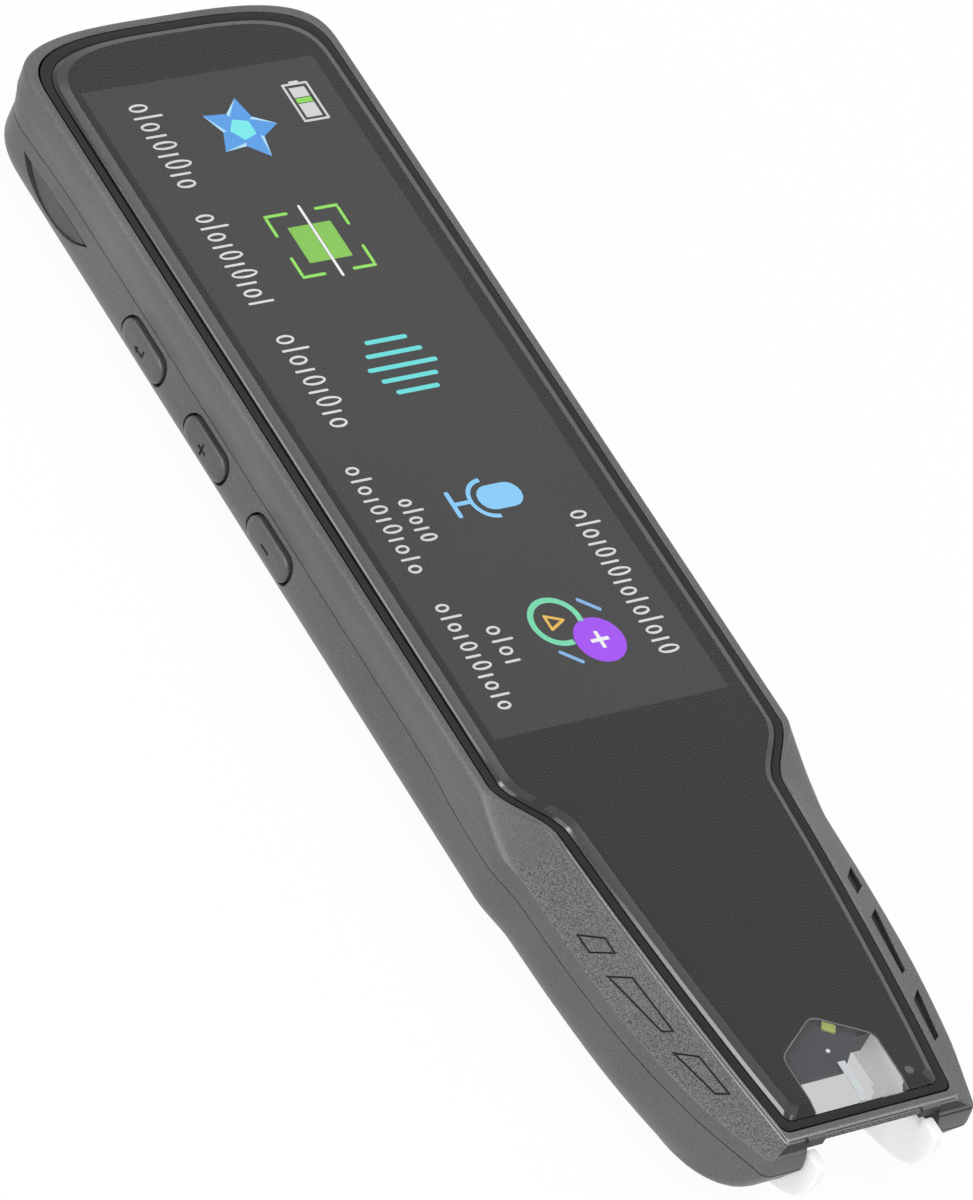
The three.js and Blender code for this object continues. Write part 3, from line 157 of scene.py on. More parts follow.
# %% Sky
SKY_LIGHT = 0.62
world = bpy.data.worlds.new("white sky")
bpy.context.scene.world = world
world.use_nodes = True
sky = world.node_tree
background = sky.nodes["Background"]
adjust(background, {"Color": (1, 1, 1, 1)})
strength = add_node(sky, "MapRange", {"To Min": SKY_LIGHT, "To Max": 1.0})
wire(sky, (*seen_plainly(sky), strength, "Value"), (strength, "Result", background, "Strength"))
print("The sky lights the pen with a strength of", SKY_LIGHT)

# %% Lamps
LAMPS = {
    "left": {"place": (-0.75, -0.10, 0.42), "size": 0.55, "power": 2.4},
    "above": {"place": (0.10, -0.55, 0.75), "size": 0.45, "power": 1.9},
    "behind": {"place": (0.01, 0.46, 0.78), "size": 0.38, "power": 0.95},
    "edge": {"place": (-0.62, 0.42, 0.50), "size": 0.14, "power": 0.4},
    "nose": {"place": (-0.68, 0.15, 0.575), "size": 0.20, "power": 0.9},
}
for name, lamp in LAMPS.items():
    light = bpy.data.lights.new(name, "AREA")
    light.energy, light.size = lamp["power"], lamp["size"]
    stand = add_object(name, light)
    stand.location = lamp["place"]
    stand.rotation_euler = (-stand.location).to_track_quat("-Z", "Y").to_euler()
print("Lamps:", ", ".join(LAMPS))

# %% Floor
FLOOR_SIZE, FLOOR_DROP = 4, 0.0004
FLOOR_GLOW_SHARE = 0.94
MATT_PAPER = {"Base Color": (0.9, 0.9, 0.9, 1), "Roughness": 0.9, "Specular IOR Level": 0.0}
bpy.ops.mesh.primitive_plane_add(size=FLOOR_SIZE, location=(0, 0, -FLOOR_DROP))
floor = bpy.context.object
floor.name = "floor"
paper, tree, shader = new_material("white paper", MATT_PAPER)
glow_share = maths(tree, "MULTIPLY", seen_plainly(tree), FLOOR_GLOW_SHARE)
glowing = blended(tree, glow_share, shader, add_node(tree, "Emission"))
from_below = add_node(tree, "NewGeometry"), "Backfacing"
show(tree, blended(tree, from_below, glowing, add_node(tree, "BsdfTransparent")))
floor.data.materials.append(paper)
print("The floor is", FLOOR_SIZE, "m wide")

# %% [markdown]
# The pen is easier to describe in its own terms than in metres from the middle of a box. Every place below
# is a distance across the pen, a station along it towards the tip, and a depth down from the glass, all in
# millimetres. One function turns such a place into metres, and one turns a point back.

# %% The pen's own measures
MM = 0.001
END_OVERHANG = 0.52
shell_low, shell_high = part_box("back_shell")
SIDE_SHIFT = (shell_low.x + shell_high.x) / 2
BODY_HALF_WIDTH = (shell_high.x - shell_low.x) / 2 / MM
PEN_THICKNESS = (cad_high.z - cad_low.z) / MM
PEN_LENGTH = (cad_high.y - cad_low.y) / MM - END_OVERHANG


def place(x, station, depth):
    y = cad_high.y - (station + END_OVERHANG) * MM
    return Vector((SIDE_SHIFT + x * MM, y, cad_high.z - depth * MM))


def pen_place(point):
    station = (cad_high.y - point.y) / MM - END_OVERHANG
    return (point.x - SIDE_SHIFT) / MM, station, (cad_high.z - point.z) / MM


def pen_box(node):
    """The ranges of a ready piece across the pen, along it and down from the glass."""
    return [sorted(ends) for ends in zip(*map(pen_place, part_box(node)))]


print("Body half width", round(BODY_HALF_WIDTH, 3), "and thickness", round(PEN_THICKNESS, 3))

# %% [markdown]
# Seen from the front, every level of the pen has the same kind of outline: a rounded top end, two straight
# sides, a shoulder, and a nose that narrows to a blunt tip. So one function draws that outline for any
# level, and the shells, the black frame and the glass are all skins stretched over such outlines. The nose
# could be traced as many points. A smooth curve through six widths gives it with fewer numbers.

# %% Outline sizes
RIM_HALF_WIDTH = BODY_HALF_WIDTH - 1.1
WALL, FIT_GAP, PARTING_LINE = 1.2, 0.15, 0.11
RIM_CROWN = 0.5
RIM_END_ROUNDING, RIM_END_POWER = 7.2, 3.3
SIDE_END_ROUNDING, SIDE_END_POWER = 8.6, 2.9
NOSE_END = PEN_LENGTH - 1.6
RIM_END = NOSE_END - 2.1
RAIL_END = NOSE_END - 1.4
SIDE_SHOULDER = (NOSE_END - 39.0, NOSE_END - 33.5)
RIM_SHOULDER = (SIDE_SHOULDER[1] - 10.5, SIDE_SHOULDER[1] - 3.5)
RIM_CORNER, SIDE_CORNER, CHIN_CORNER = 0.9, 1.2, 4.5
NOSE_STATION_SHARES = (0, 0.25, 0.5, 0.75, 0.9, 1)
RIM_NOSE_SHARES = (0.77, 0.734, 0.686, 0.625, 0.58, 0.553)
SIDE_NOSE_SHARES = (0.9575, 0.938, 0.895, 0.805, 0.714, 0.646)
TIP_REACH = 8
TIP_DEPTH_SHARES = (0.05, 0.09, 0.16, 0.3, 0.43, 0.59, 0.74, 0.87, 1)
TIP_END_SHARES = (0.175, 0.1375, 0.05, 0, 0.04, 0.1875, 0.325, 0.56, 1)
print("The nose ends", round(NOSE_END, 2), "mm from the top end")

# %% Smooth curves
def curve_through(xs, ys):
    """A smooth function through the given points, whose xs rise."""
    last = len(xs) - 1
    slopes = []
    for i in range(len(xs)):
        before, after = max(i - 1, 0), min(i + 1, last)
        slopes.append((ys[after] - ys[before]) / (xs[after] - xs[before]))

    def curve(x):
        if x <= xs[0]:
            return ys[0]
        if x >= xs[last]:
            return ys[last]
        i = max(k for k in range(last) if xs[k] <= x)
        span, rise = xs[i + 1] - xs[i], ys[i + 1] - ys[i]
        t = (x - xs[i]) / span
        a = slopes[i] * span - rise
        b = rise - slopes[i + 1] * span
        return ys[i] + t * rise + t * (1 - t) * ((1 - t) * a + t * b)

    return curve


def between(start, end, share):
    return start + (end - start) * share


def smooth(share):
    return share * share * (3 - 2 * share)


def clamp(value):
    return min(max(value, 0), 1)


def within(value, limits):
    return limits[0] < value < limits[1]


rim_nose = curve_through(NOSE_STATION_SHARES, RIM_NOSE_SHARES)
side_nose = curve_through(NOSE_STATION_SHARES, SIDE_NOSE_SHARES)
tip_profile = curve_through(TIP_DEPTH_SHARES, TIP_END_SHARES)


def tip_end_at(depth):
    return NOSE_END - TIP_REACH * tip_profile(depth / PEN_THICKNESS)


# %% Outline of one level
END_STEPS, STRAIGHT_STEPS, SHOULDER_STEPS, NOSE_STEPS, CORNER_STEPS = 22, 24, 14, 24, 7
NOSE_FADE = (RIM_SHOULDER[0] - 8, RIM_SHOULDER[0] + 1)
TOP_FADE = (4, 15)


def outline(half, inset, nose, crown, end, rounding, power, shoulder, corner, depth_at):
    nose_length = NOSE_END - shoulder[1]

    def width_at(station):
        if station <= shoulder[0]:
            return half - inset
        if station >= shoulder[1]:
            return half * nose((station - shoulder[1]) / nose_length) - inset
        share = smooth((station - shoulder[0]) / (shoulder[1] - shoulder[0]))
        return between(half, half * nose(0), share) - inset

    side = []
    for i in range(1, END_STEPS + 1):
        angle = math.pi / 2 * (1 - i / END_STEPS)
        x = (half - inset) * math.cos(angle) ** (2 / power)
        side.append((x, crown + rounding * (1 - math.sin(angle) ** (2 / power))))
    corner_start = end - corner
    stretches = (
        (crown + rounding, shoulder[0], STRAIGHT_STEPS),
        (shoulder[0], shoulder[1], SHOULDER_STEPS),
        (shoulder[1], corner_start, NOSE_STEPS),
    )
    for start, stop, steps in stretches:
        stations = [between(start, stop, i / steps) for i in range(1, steps + 1)]
        side += [(width_at(station), station) for station in stations]
    for i in range(1, CORNER_STEPS + 1):
        angle = math.pi / 2 * i / CORNER_STEPS
        x = width_at(corner_start) - corner * (1 - math.cos(angle))
        side.append((x, corner_start + corner * math.sin(angle)))
    left = [(-x, station) for x, station in reversed(side)]
    whole = [(0, crown), *side, (0, end), *left]
    return [Vector((x, station, depth_at(station))) for x, station in whole]


def rim_ring(offset, depth, nose_offset=None, end_offset=None, corner=RIM_CORNER):
    """The outline of the screen's rim, moved inwards by an offset."""
    nose_offset = offset if nose_offset is None else nose_offset
    end_offset = offset if end_offset is None else end_offset
    return outline(
        RIM_HALF_WIDTH, offset, lambda share: rim_nose(share) + (offset - nose_offset) / RIM_HALF_WIDTH,
        RIM_CROWN + offset, RIM_END - end_offset, RIM_END_ROUNDING, RIM_END_POWER,
        RIM_SHOULDER, corner, lambda station: depth,
    )


def side_ring(inset, depth, tip_depth, fall=2, end_inset=None, corner=SIDE_CORNER, squareness=0):
    """The outline of the body's side, whose depth passes smoothly to another one at the tip."""
    end = tip_end_at(tip_depth) - (inset if end_inset is None else end_inset)

    def depth_at(station):
        share = clamp((station - RIM_SHOULDER[0]) / (end - RIM_SHOULDER[0]))
        return between(depth, tip_depth, share**fall)

    rounding = between(SIDE_END_ROUNDING, RIM_END_ROUNDING, squareness)
    power = between(SIDE_END_POWER, RIM_END_POWER, squareness)
    return outline(
        BODY_HALF_WIDTH, inset, side_nose, inset - END_OVERHANG, end, rounding, power,
        SIDE_SHOULDER, corner, depth_at,
    )


def mixed(first, second, share):
    return [a.lerp(b, share) for a, b in zip(first, second)]


def eased(straight, ends):
    """An outline that follows one ring along the straight sides and another one at both ends."""
    ring = []
    for first, second in zip(straight, ends):
        nose_share = (second.y - NOSE_FADE[0]) / (NOSE_FADE[1] - NOSE_FADE[0])
        top_share = (TOP_FADE[1] - second.y) / (TOP_FADE[1] - TOP_FADE[0])
        ring.append(first.lerp(second, smooth(clamp(max(nose_share, top_share)))))
    return ring


print("One outline has", len(rim_ring(0, 0)), "points")

# %% [markdown]
# A moulded part has no knife edges: each edge is rounded by a tenth of a millimetre or more, and that is
# what catches the light. A bevel modifier could round them after the mesh is made. Here the rounding is
# put between the outlines, since that keeps the faces in clean rows that other shapes can be cut from.

# %% Skins over outlines
ROUND_STEPS, ROUND_LIMIT = 4, 0.45
BEVEL_STEPS, BEVEL_ANGLE = 4, 35
CRISP_ANGLE, SOFT_ANGLE, READY_ANGLE = 32, 40, 35


def rounded(levels, closed=False):
    """Turns (outline, radius) pairs into outlines, with a small arc in place of each one with a radius."""
    rings = []
    count = len(levels)
    for i, (ring, radius) in enumerate(levels):
        if not radius or not (closed or 0 < i < count - 1):
            rings.append(ring)
            continue
        starts, ends = [], []
        for point, back, ahead in zip(ring, levels[i - 1][0], levels[(i + 1) % count][0]):
            to_back, to_ahead = back - point, ahead - point
            reach = min(radius, ROUND_LIMIT * to_back.length, ROUND_LIMIT * to_ahead.length)
            starts.append(point + to_back.normalized() * reach)
            ends.append(point + to_ahead.normalized() * reach)
        rings += [
            [bent(*corner, step / ROUND_STEPS) for corner in zip(starts, ring, ends)]
            for step in range(ROUND_STEPS + 1)
        ]
    return rings


def bent(start, corner, end, t):
    """A point of the curve that rounds a corner off."""
    return start * (1 - t) ** 2 + corner * (2 * t * (1 - t)) + end * t**2


def object_from(name, shape):
    bmesh.ops.recalc_face_normals(shape, faces=shape.faces)
    mesh = bpy.data.meshes.new(name)
    shape.to_mesh(mesh)
    shape.free()
    return add_object(name, mesh)


def loft(name, rings, closed=False):
    """One closed skin over outlines of equal length, given in the pen's own measures."""
    shape = bmesh.new()
    rows = [[shape.verts.new(place(*point)) for point in ring] for ring in rings]
    count = len(rows[0])
    for upper, lower in zip(rows, rows[1:] + rows[:1] if closed else rows[1:]):
        for i in range(count):
            j = (i + 1) % count
            shape.faces.new((upper[i], upper[j], lower[j], lower[i]))
    if not closed:
        shape.faces.new(rows[0])
        shape.faces.new(rows[-1])
    return object_from(name, shape)


def settle(piece):
    """Keeps what the modifiers made as the piece's own mesh."""
    depsgraph = bpy.context.evaluated_depsgraph_get()
    final = bpy.data.meshes.new_from_object(piece.evaluated_get(depsgraph))
    piece.modifiers.clear()
    piece.data = final


def combine(piece, others, operation):
    """Cuts other closed shapes out of a piece, or joins them to it, and then drops them."""
    for other in others:
        modifier = piece.modifiers.new("combine", "BOOLEAN")
        modifier.operation, modifier.solver, modifier.object = operation, "EXACT", other
    settle(piece)
    for other in others:
        bpy.data.objects.remove(other)


def bevel(piece, width):
    modifier = piece.modifiers.new("bevel", "BEVEL")
    modifier.width, modifier.segments = width * MM, BEVEL_STEPS
    modifier.limit_method, modifier.angle_limit = "ANGLE", math.radians(BEVEL_ANGLE)
    settle(piece)


def shade(piece, angle):
    """Smooth shading over the curves, with a crisp line wherever two faces meet at more than the angle."""
    mesh = piece.data
    mesh.polygons.foreach_set("use_smooth", [True] * len(mesh.polygons))
    mesh.set_sharp_from_angle(angle=math.radians(angle))


def clothe(piece, *materials):
    """Gives a piece these materials in place of its own."""
    piece.data.materials.clear()
    for material in materials:
        piece.data.materials.append(material)


def fasten(piece, body, node=None):
    """Hangs a piece on the body that carries it, and hides the ready piece that it stands for."""
    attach(piece, body)
    if node:
        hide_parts(node)


def dress(piece, materials, body, node=None, angle=CRISP_ANGLE):
    """Finishes a new piece: its materials, its shading and what it belongs to."""
    clothe(piece, *materials)
    shade(piece, angle)
    fasten(piece, body, node)


# %% Simple cutting shapes
def rectangle(x, station):
    return [(x[0], station[0]), (x[1], station[0]), (x[1], station[1]), (x[0], station[1])]


def disc(middle, radius, steps=48):
    turns = [2 * math.pi * i / steps for i in range(steps)]
    return [(middle[0] + radius * math.cos(a), middle[1] + radius * math.sin(a)) for a in turns]


def pill(middle, length, width, steps=12):
    """A slot with half-round ends, as points about a middle, its length along the first axis."""
    points = []
    straight, radius = (length - width) / 2, width / 2
    for side, start in ((1, -math.pi / 2), (-1, math.pi / 2)):
        for i in range(steps + 1):
            angle = start + math.pi * i / steps
            across = side * straight + radius * math.cos(angle)
            points.append((middle[0] + across, middle[1] + radius * math.sin(angle)))
    return points


def down_pen(points, depths, name="cutter"):
    """A solid whose outline of (x, station) points is carried through the given depths."""
    return loft(name, [[Vector((*point, depth)) for point in points] for depth in depths])


def across_pen(points, places):
    """A solid whose outline of (station, depth) points is carried through places across the pen."""
    return loft("cutter", [[Vector((x, *point)) for point in points] for x in places])


def along_pen(points, stations):
    return loft("cutter", [[Vector((x, s, depth)) for x, depth in points] for s in stations])


def block(x, station, depth):
    return down_pen(rectangle(x, station), depth)


def on_side(side, inner, outer):
    return sorted((side * inner, side * outer))


print("Shaping tools are ready")

# %% [markdown]
# Plastic is never one flat colour. The pen's grey has a fine sparkle of moulded grain, a slow drift of tone
# and a roughness that follows the grain. Those effects appear in nearly every finish here, so they are two
# node groups, made once. Each material keeps its own shader and feeds it from the groups.

# %% Grain group
NOISE_MIDDLE, NOISE_CORE = (0.3, 0.7), (0.35, 0.65)


def new_group(name, inputs, outputs):
    """A node group whose inputs have default values and whose outputs have kinds."""
    group = bpy.data.node_groups.new(name, "ShaderNodeTree")
    for title, value in inputs.items():
        kind = "NodeSocketColor" if isinstance(value, tuple) else "NodeSocketFloat"
        group.interface.new_socket(title, in_out="INPUT", socket_type=kind).default_value = value
    for title, kind in outputs.items():
        group.interface.new_socket(title, in_out="OUTPUT", socket_type=kind)
    return group, group.nodes.new("NodeGroupInput"), group.nodes.new("NodeGroupOutput")


grain, grain_in, grain_out = new_group(
    "moulded grain",
    {"Scale": 4000.0, "Low Roughness": 0.4, "High Roughness": 0.6},
    {"Height": "NodeSocketFloat", "Roughness": "NodeSocketFloat"},
)
noise = add_node(grain, "TexNoise", {"Detail": 2.0})
spread = add_node(grain, "MapRange", {"From Min": NOISE_CORE[0], "From Max": NOISE_CORE[1]})
wire(
    grain,
    (add_node(grain, "TexCoord"), "Object", noise, "Vector"),
    (grain_in, "Scale", noise, "Scale"),
    (noise, "Fac", spread, "Value"),
    (grain_in, "Low Roughness", spread, "To Min"),
    (grain_in, "High Roughness", spread, "To Max"),
    (noise, "Fac", grain_out, "Height"),
    (spread, "Result", grain_out, "Roughness"),
)
print("Grain group:", len(grain.nodes), "nodes")

# %% Tone group
tone, tone_in, tone_out = new_group(
    "tone drift",
    {
        "Dark": (0.1, 0.1, 0.1, 1), "Light": (0.2, 0.2, 0.2, 1),
        "Drift Scale": 60.0, "Speckle Scale": 4000.0, "Speckle": 0.5,
    },
    {"Color": "NodeSocketColor"},
)
where = add_node(tone, "TexCoord")
drift, speckles = (add_node(tone, "TexNoise", {"Detail": 1.0}) for i in range(2))
weave = add_node(tone, "Mix")
stretch = add_node(tone, "MapRange", {"From Min": NOISE_MIDDLE[0], "From Max": NOISE_MIDDLE[1]})
colours = add_node(tone, "Mix", data_type="RGBA")
wire(
    tone,
    (where, "Object", drift, "Vector"),
    (where, "Object", speckles, "Vector"),
    (tone_in, "Drift Scale", drift, "Scale"),
    (tone_in, "Speckle Scale", speckles, "Scale"),
    (tone_in, "Speckle", weave, 0),
    (drift, "Fac", weave, 2),
    (speckles, "Fac", weave, 3),
    (weave, 0, stretch, "Value"),
    (stretch, "Result", colours, 0),
    (tone_in, "Dark", colours, 6),
    (tone_in, "Light", colours, 7),
    (colours, 2, tone_out, "Color"),
)
print("Tone group:", len(tone.nodes), "nodes")

# %% Materials from the groups
DRIFT_SCALE = 60
SOFT_REACH = 0.0012


def colour(code):
    """A colour as a screen shows it, such as 7a7a7c, in the even light values that shaders use."""
    parts = [int(code[i:i + 2], 16) / 255 for i in (0, 2, 4)]
    even = [p / 12.92 if p <= 0.04045 else ((p + 0.055) / 1.055) ** 2.4 for p in parts]
    return (*even, 1)


def toned(tree, dark, light, speckle, speckle_scale, drift_scale):
    values = {"Dark": colour(dark), "Light": colour(light), "Speckle": speckle}
    values.update({"Speckle Scale": speckle_scale, "Drift Scale": drift_scale})
    return add_node(tree, "Group", values, node_tree=tone)


def grained(tree, scale, low, high):
    values = {"Scale": scale, "Low Roughness": low, "High Roughness": high}
    return add_node(tree, "Group", values, node_tree=grain)


def finish(
    name, dark, light, rough, metal, grain_scale, bump,
    depth=0.00002, speckle=0.4, coat=0.0, soft=0.0, shine=0.5, painted_glow=0.0,
):
    """A moulded, painted or metal finish: tone and grain from the groups, the rest on the shader."""
    values = {"Metallic": metal, "Coat Weight": coat, "Specular IOR Level": shine}
    made, tree, shader = new_material(name, values)
    tones = toned(tree, dark, light, speckle, grain_scale, DRIFT_SCALE)
    grains = grained(tree, grain_scale, *rough)
    relief = add_node(tree, "Bump", {"Strength": bump, "Distance": depth})
    wire(
        tree,
        (tones, "Color", shader, "Base Color"),
        (grains, "Roughness", shader, "Roughness"),
        (grains, "Height", relief, "Height"),
        (relief, "Normal", shader, "Normal"),
    )
    if soft:
        adjust(shader, {"Subsurface Weight": soft, "Subsurface Radius": (1.0, 1.0, 1.0)})
        # The emission is painted light: the piece shines in its own tone, though it is no lamp.
        adjust(shader, {"Subsurface Scale": SOFT_REACH, "Emission Strength": painted_glow})
        wire(tree, (tones, "Color", shader, "Emission Color"))
    return made


# %% [markdown]
# These are the pen's finishes. The two shells share one satin grey, and the slanted sides of the nose are
# moulded with a coarser grain. The lighter grey on the rim's edge along them is a painted highlight, and the
# darker grey on the visor and in the pockets is painted shade. Keys are the same grey a little smoother; the
# power key's darker grey is painted shade. The feet are milky plastic that lets some light in, and they also
# shine with painted light of their own. The rest are the finishes of pieces that are mostly hidden. Each
# line gives a name, a dark and a light tone, the range of roughness, the share of metal, and the grain's
# scale and relief.

# %% Finishes
shell_grey = finish("satin grey shell", "4e4e4f", "6c6c6d", (0.36, 0.5), 0.3, 6500, 0.2, speckle=0.7)
nose_grey = finish(
    "grained grey nose", "3c3c3e", "7c7c7d", (0.4, 0.55), 0.3, 7200, 0.45, speckle=0.9, shine=0.25,
)
# A darker copy of the nose grey: painted shade on the visor's front face and the pockets' walls.
nose_painted_shade_grey = finish(
    "nose grey with painted shade", "28282a", "444446", (0.4, 0.55), 0.2, 7200, 0.3, speckle=0.9, shine=0.3,
)
# The rim edge's lighter grey is a painted highlight, standing in for the light that the edge catches.
rim_edge_painted_highlight_grey = finish("rim edge painted highlight", "7c7c7e", "949496", (0.22, 0.3), 0.4, 6500, 0.1)
# The power key's darker grey is painted shade, a darker copy of the key grey.
power_key_painted_shade_grey = finish("key grey with painted shade", "3e3e40", "505052", (0.34, 0.46), 0.3, 6500, 0.15, speckle=0.6)
key_grey = finish("smooth grey key", "4a4a4b", "636364", (0.3, 0.42), 0.3, 6500, 0.15, speckle=0.6)
frame_black = finish("black frame", "0e0e0f", "161617", (0.22, 0.32), 0.0, 6000, 0.05, shine=0.3)
print_black = finish("black print", "161617", "1c1c1d", (0.5, 0.6), 0.0, 6000, 0.0, shine=0.0)
# The feet also shine with painted light in their own tone, standing in for light passing through them.
foot_white_painted_glow = finish("milky white foot with painted light", "b0b0b0", "bababa", (0.3, 0.4), 0.0, 3000, 0.03, soft=0.8, painted_glow=0.9)
ground_glass = finish("softly ground glass edge", "161617", "1c1c1d", (0.27, 0.33), 0.0, 6000, 0.0, shine=0.7)
polished_glass = finish("polished glass corner", "161617", "1c1c1d", (0.1, 0.14), 0.0, 6000, 0.0, shine=0.55)
line_white = finish("white guide line", "8c9293", "9aa0a1", (0.4, 0.5), 0.0, 5000, 0.1, shine=0.0)
outline_grey = finish("grey window outline", "4c4c4e", "585859", (0.4, 0.5), 0.0, 5000, 0.0, shine=0.0)
mask_dark = finish("dark window plate", "3a3b40", "46474c", (0.45, 0.6), 0.0, 4000, 0.1, shine=0.2)
dark_plastic = finish("dark plastic", "2b2c30", "3a3b40", (0.4, 0.6), 0.0, 3000, 0.3)
barrel_black = finish("black barrel", "101011", "1c1c1d", (0.25, 0.4), 0.0, 5000, 0.2)
board_green = finish("green board lacquer", "184a30", "2a6b48", (0.3, 0.5), 0.0, 900, 0.3)
screw_steel = finish("zinc plated steel", "8f9296", "b9bcc0", (0.25, 0.45), 1.0, 2500, 0.3)
can_steel = finish("tinned shield", "9c9fa2", "c4c6c8", (0.3, 0.5), 1.0, 1500, 0.3)
spring_steel = finish("spring wire", "84878b", "a7aaae", (0.2, 0.35), 1.0, 5000, 0.2)
foam = finish("dark foam", "1a1a1c", "333336", (0.85, 1.0), 0.0, 1800, 1.0, depth=0.0001, speckle=0.9)
film_amber = finish("amber film", "a06a20", "c48a38", (0.3, 0.45), 0.0, 1500, 0.2, coat=0.3)
cell_silver = finish("battery foil", "8d9197", "b4b8bd", (0.35, 0.5), 0.6, 700, 0.5)
light_grey = finish("light grey plastic", "bfc1c3", "cfd1d3", (0.4, 0.6), 0.0, 2500, 0.2)
lamp_yellow = finish("yellow lamp", "9aa64c", "b4c060", (0.3, 0.5), 0.0, 2500, 0.2, shine=0.2)
lit_white = finish("white marker", "eeeeee", "ffffff", (0.3, 0.5), 0.0, 2500, 0.1)
print("Finishes:", len(bpy.data.materials))

# %% [markdown]
# Glass could be a dark mirror, but the window at the tip has to show what lies behind it. So it is real
# glass. Its lower face is joined to the black print without air between them, which kills the second
# reflection. Making the shader clear wherever a ray leaves the glass gives the same effect. Shadows would
# turn what lies behind black, so rays on their way to a lamp also pass.

# %% Clear and lit materials
SMEAR_SCALE = 90
UNLIT = {"Base Color": (0.005, 0.005, 0.005, 1), "Roughness": 0.6, "Specular IOR Level": 0.0}
SCREEN_SPECKLE, SCREEN_SPECKLE_SCALE, SCREEN_DRIFT_SCALE = 0.15, 9000, 40


def clear_material(name, tint, highest_roughness, bend, bonded=False):
    values = {"Base Color": tint, "Transmission Weight": 1.0, "IOR": bend}
    made, tree, shader = new_material(name, values)
    smear = grained(tree, SMEAR_SCALE, 0.0, highest_roughness)
    wire(tree, (smear, "Roughness", shader, "Roughness"))
    passing = add_node(tree, "LightPath"), "Is Shadow Ray"
    if bonded:
        passing = maths(tree, "MAXIMUM", passing, (add_node(tree, "NewGeometry"), "Backfacing"))
    show(tree, blended(tree, passing, shader, add_node(tree, "BsdfTransparent")))
    return made


def lit(name, dark, light):
    """A patch of the lit screen: its own colour shines, and hardly any of the room's light comes back."""
    made, tree, shader = new_material(name, {**UNLIT, "Emission Strength": 1.0})
    tones = toned(tree, dark, light, SCREEN_SPECKLE, SCREEN_SPECKLE_SCALE, SCREEN_DRIFT_SCALE)
    wire(tree, (tones, "Color", shader, "Emission Color"))
    return made


cover_clear = clear_material("clear cover glass", (1, 1, 1, 1), 0.02, 1.5, bonded=True)
film_clear = clear_material("clear touch film", (1, 1, 1, 1), 0.01, 1.0)
# The smoked tint is painted shade: it dims what lies behind the window as the shade inside the mouth would.
window_painted_shade_smoke = clear_material("smoked film of painted shade", (0.6, 0.6, 0.61, 1), 0.01, 1.0)
lens_clear = clear_material("coated lens glass", (0.85, 0.9, 1, 1), 0.02, 1.6)
screen_dark = lit("lit dark screen", "2f2f30", "333334")
print("Clear and lit materials are ready")

# %% [markdown]
# The front shell is one moulded ring. From outside to inside it has the parting edge, a low wall with a
# soft crease, a slanted band that widens into the nose's flat sides, and the thin rim round the frame. The
# side walls are slightly hollow along the straight part. Each level is an outline and its edge's radius.

# %% Front shell
RIM_DEPTH = 0.66
CREASE_DEPTH, CREASE_TIP_DEPTH = 3.3, 1.9
PARTING_DEPTH, PARTING_TIP_DEPTH = 5.5, 3.7
RIM_WIDTH, NOSE_RIM_WIDTH, RAIL_WIDTH = 0.8, 0.25, RAIL_END - RIM_END
RIM_EDGE_DROP, RIM_EDGE_OUT = 0.35, 0.22
CREASE_WIDTH, CREASE_CORNER, CREASE_FALL = 0.4, 0.4, 4
OUTER_CORNER = 0.3
HOLLOW, NOSE_GROOVE, TIP_SHIFT_SHARE = 0.58, 0.05, 0.6
SHELF_TOP, SHELF_BOTTOM, SHELF_REACH = 2.6, 3.4, 1.7
EDGE, NOSE_EDGE, RAIL_EDGE = (
    RIM_WIDTH + RIM_EDGE_OUT, NOSE_RIM_WIDTH + RIM_EDGE_OUT / 2, RAIL_WIDTH + RIM_EDGE_OUT,
)


def wall_ring(hollow_share, depth, squareness, nose_groove, nose_shift):
    """A level of the front shell's wall: hollowed along the straight sides, nearly plain at the ends."""
    nose_depth = CREASE_DEPTH + nose_shift, CREASE_TIP_DEPTH + TIP_SHIFT_SHARE * nose_shift
    hollow = HOLLOW * hollow_share
    straight = side_ring(hollow, depth, CREASE_TIP_DEPTH, fall=CREASE_FALL, squareness=squareness)
    return eased(straight, side_ring(nose_groove, *nose_depth, fall=CREASE_FALL, squareness=squareness))


def upper_ring(hollow_share, depth, squareness):
    hollow = HOLLOW * hollow_share
    return side_ring(hollow, depth, CREASE_TIP_DEPTH, CREASE_FALL, None, CREASE_CORNER, squareness)


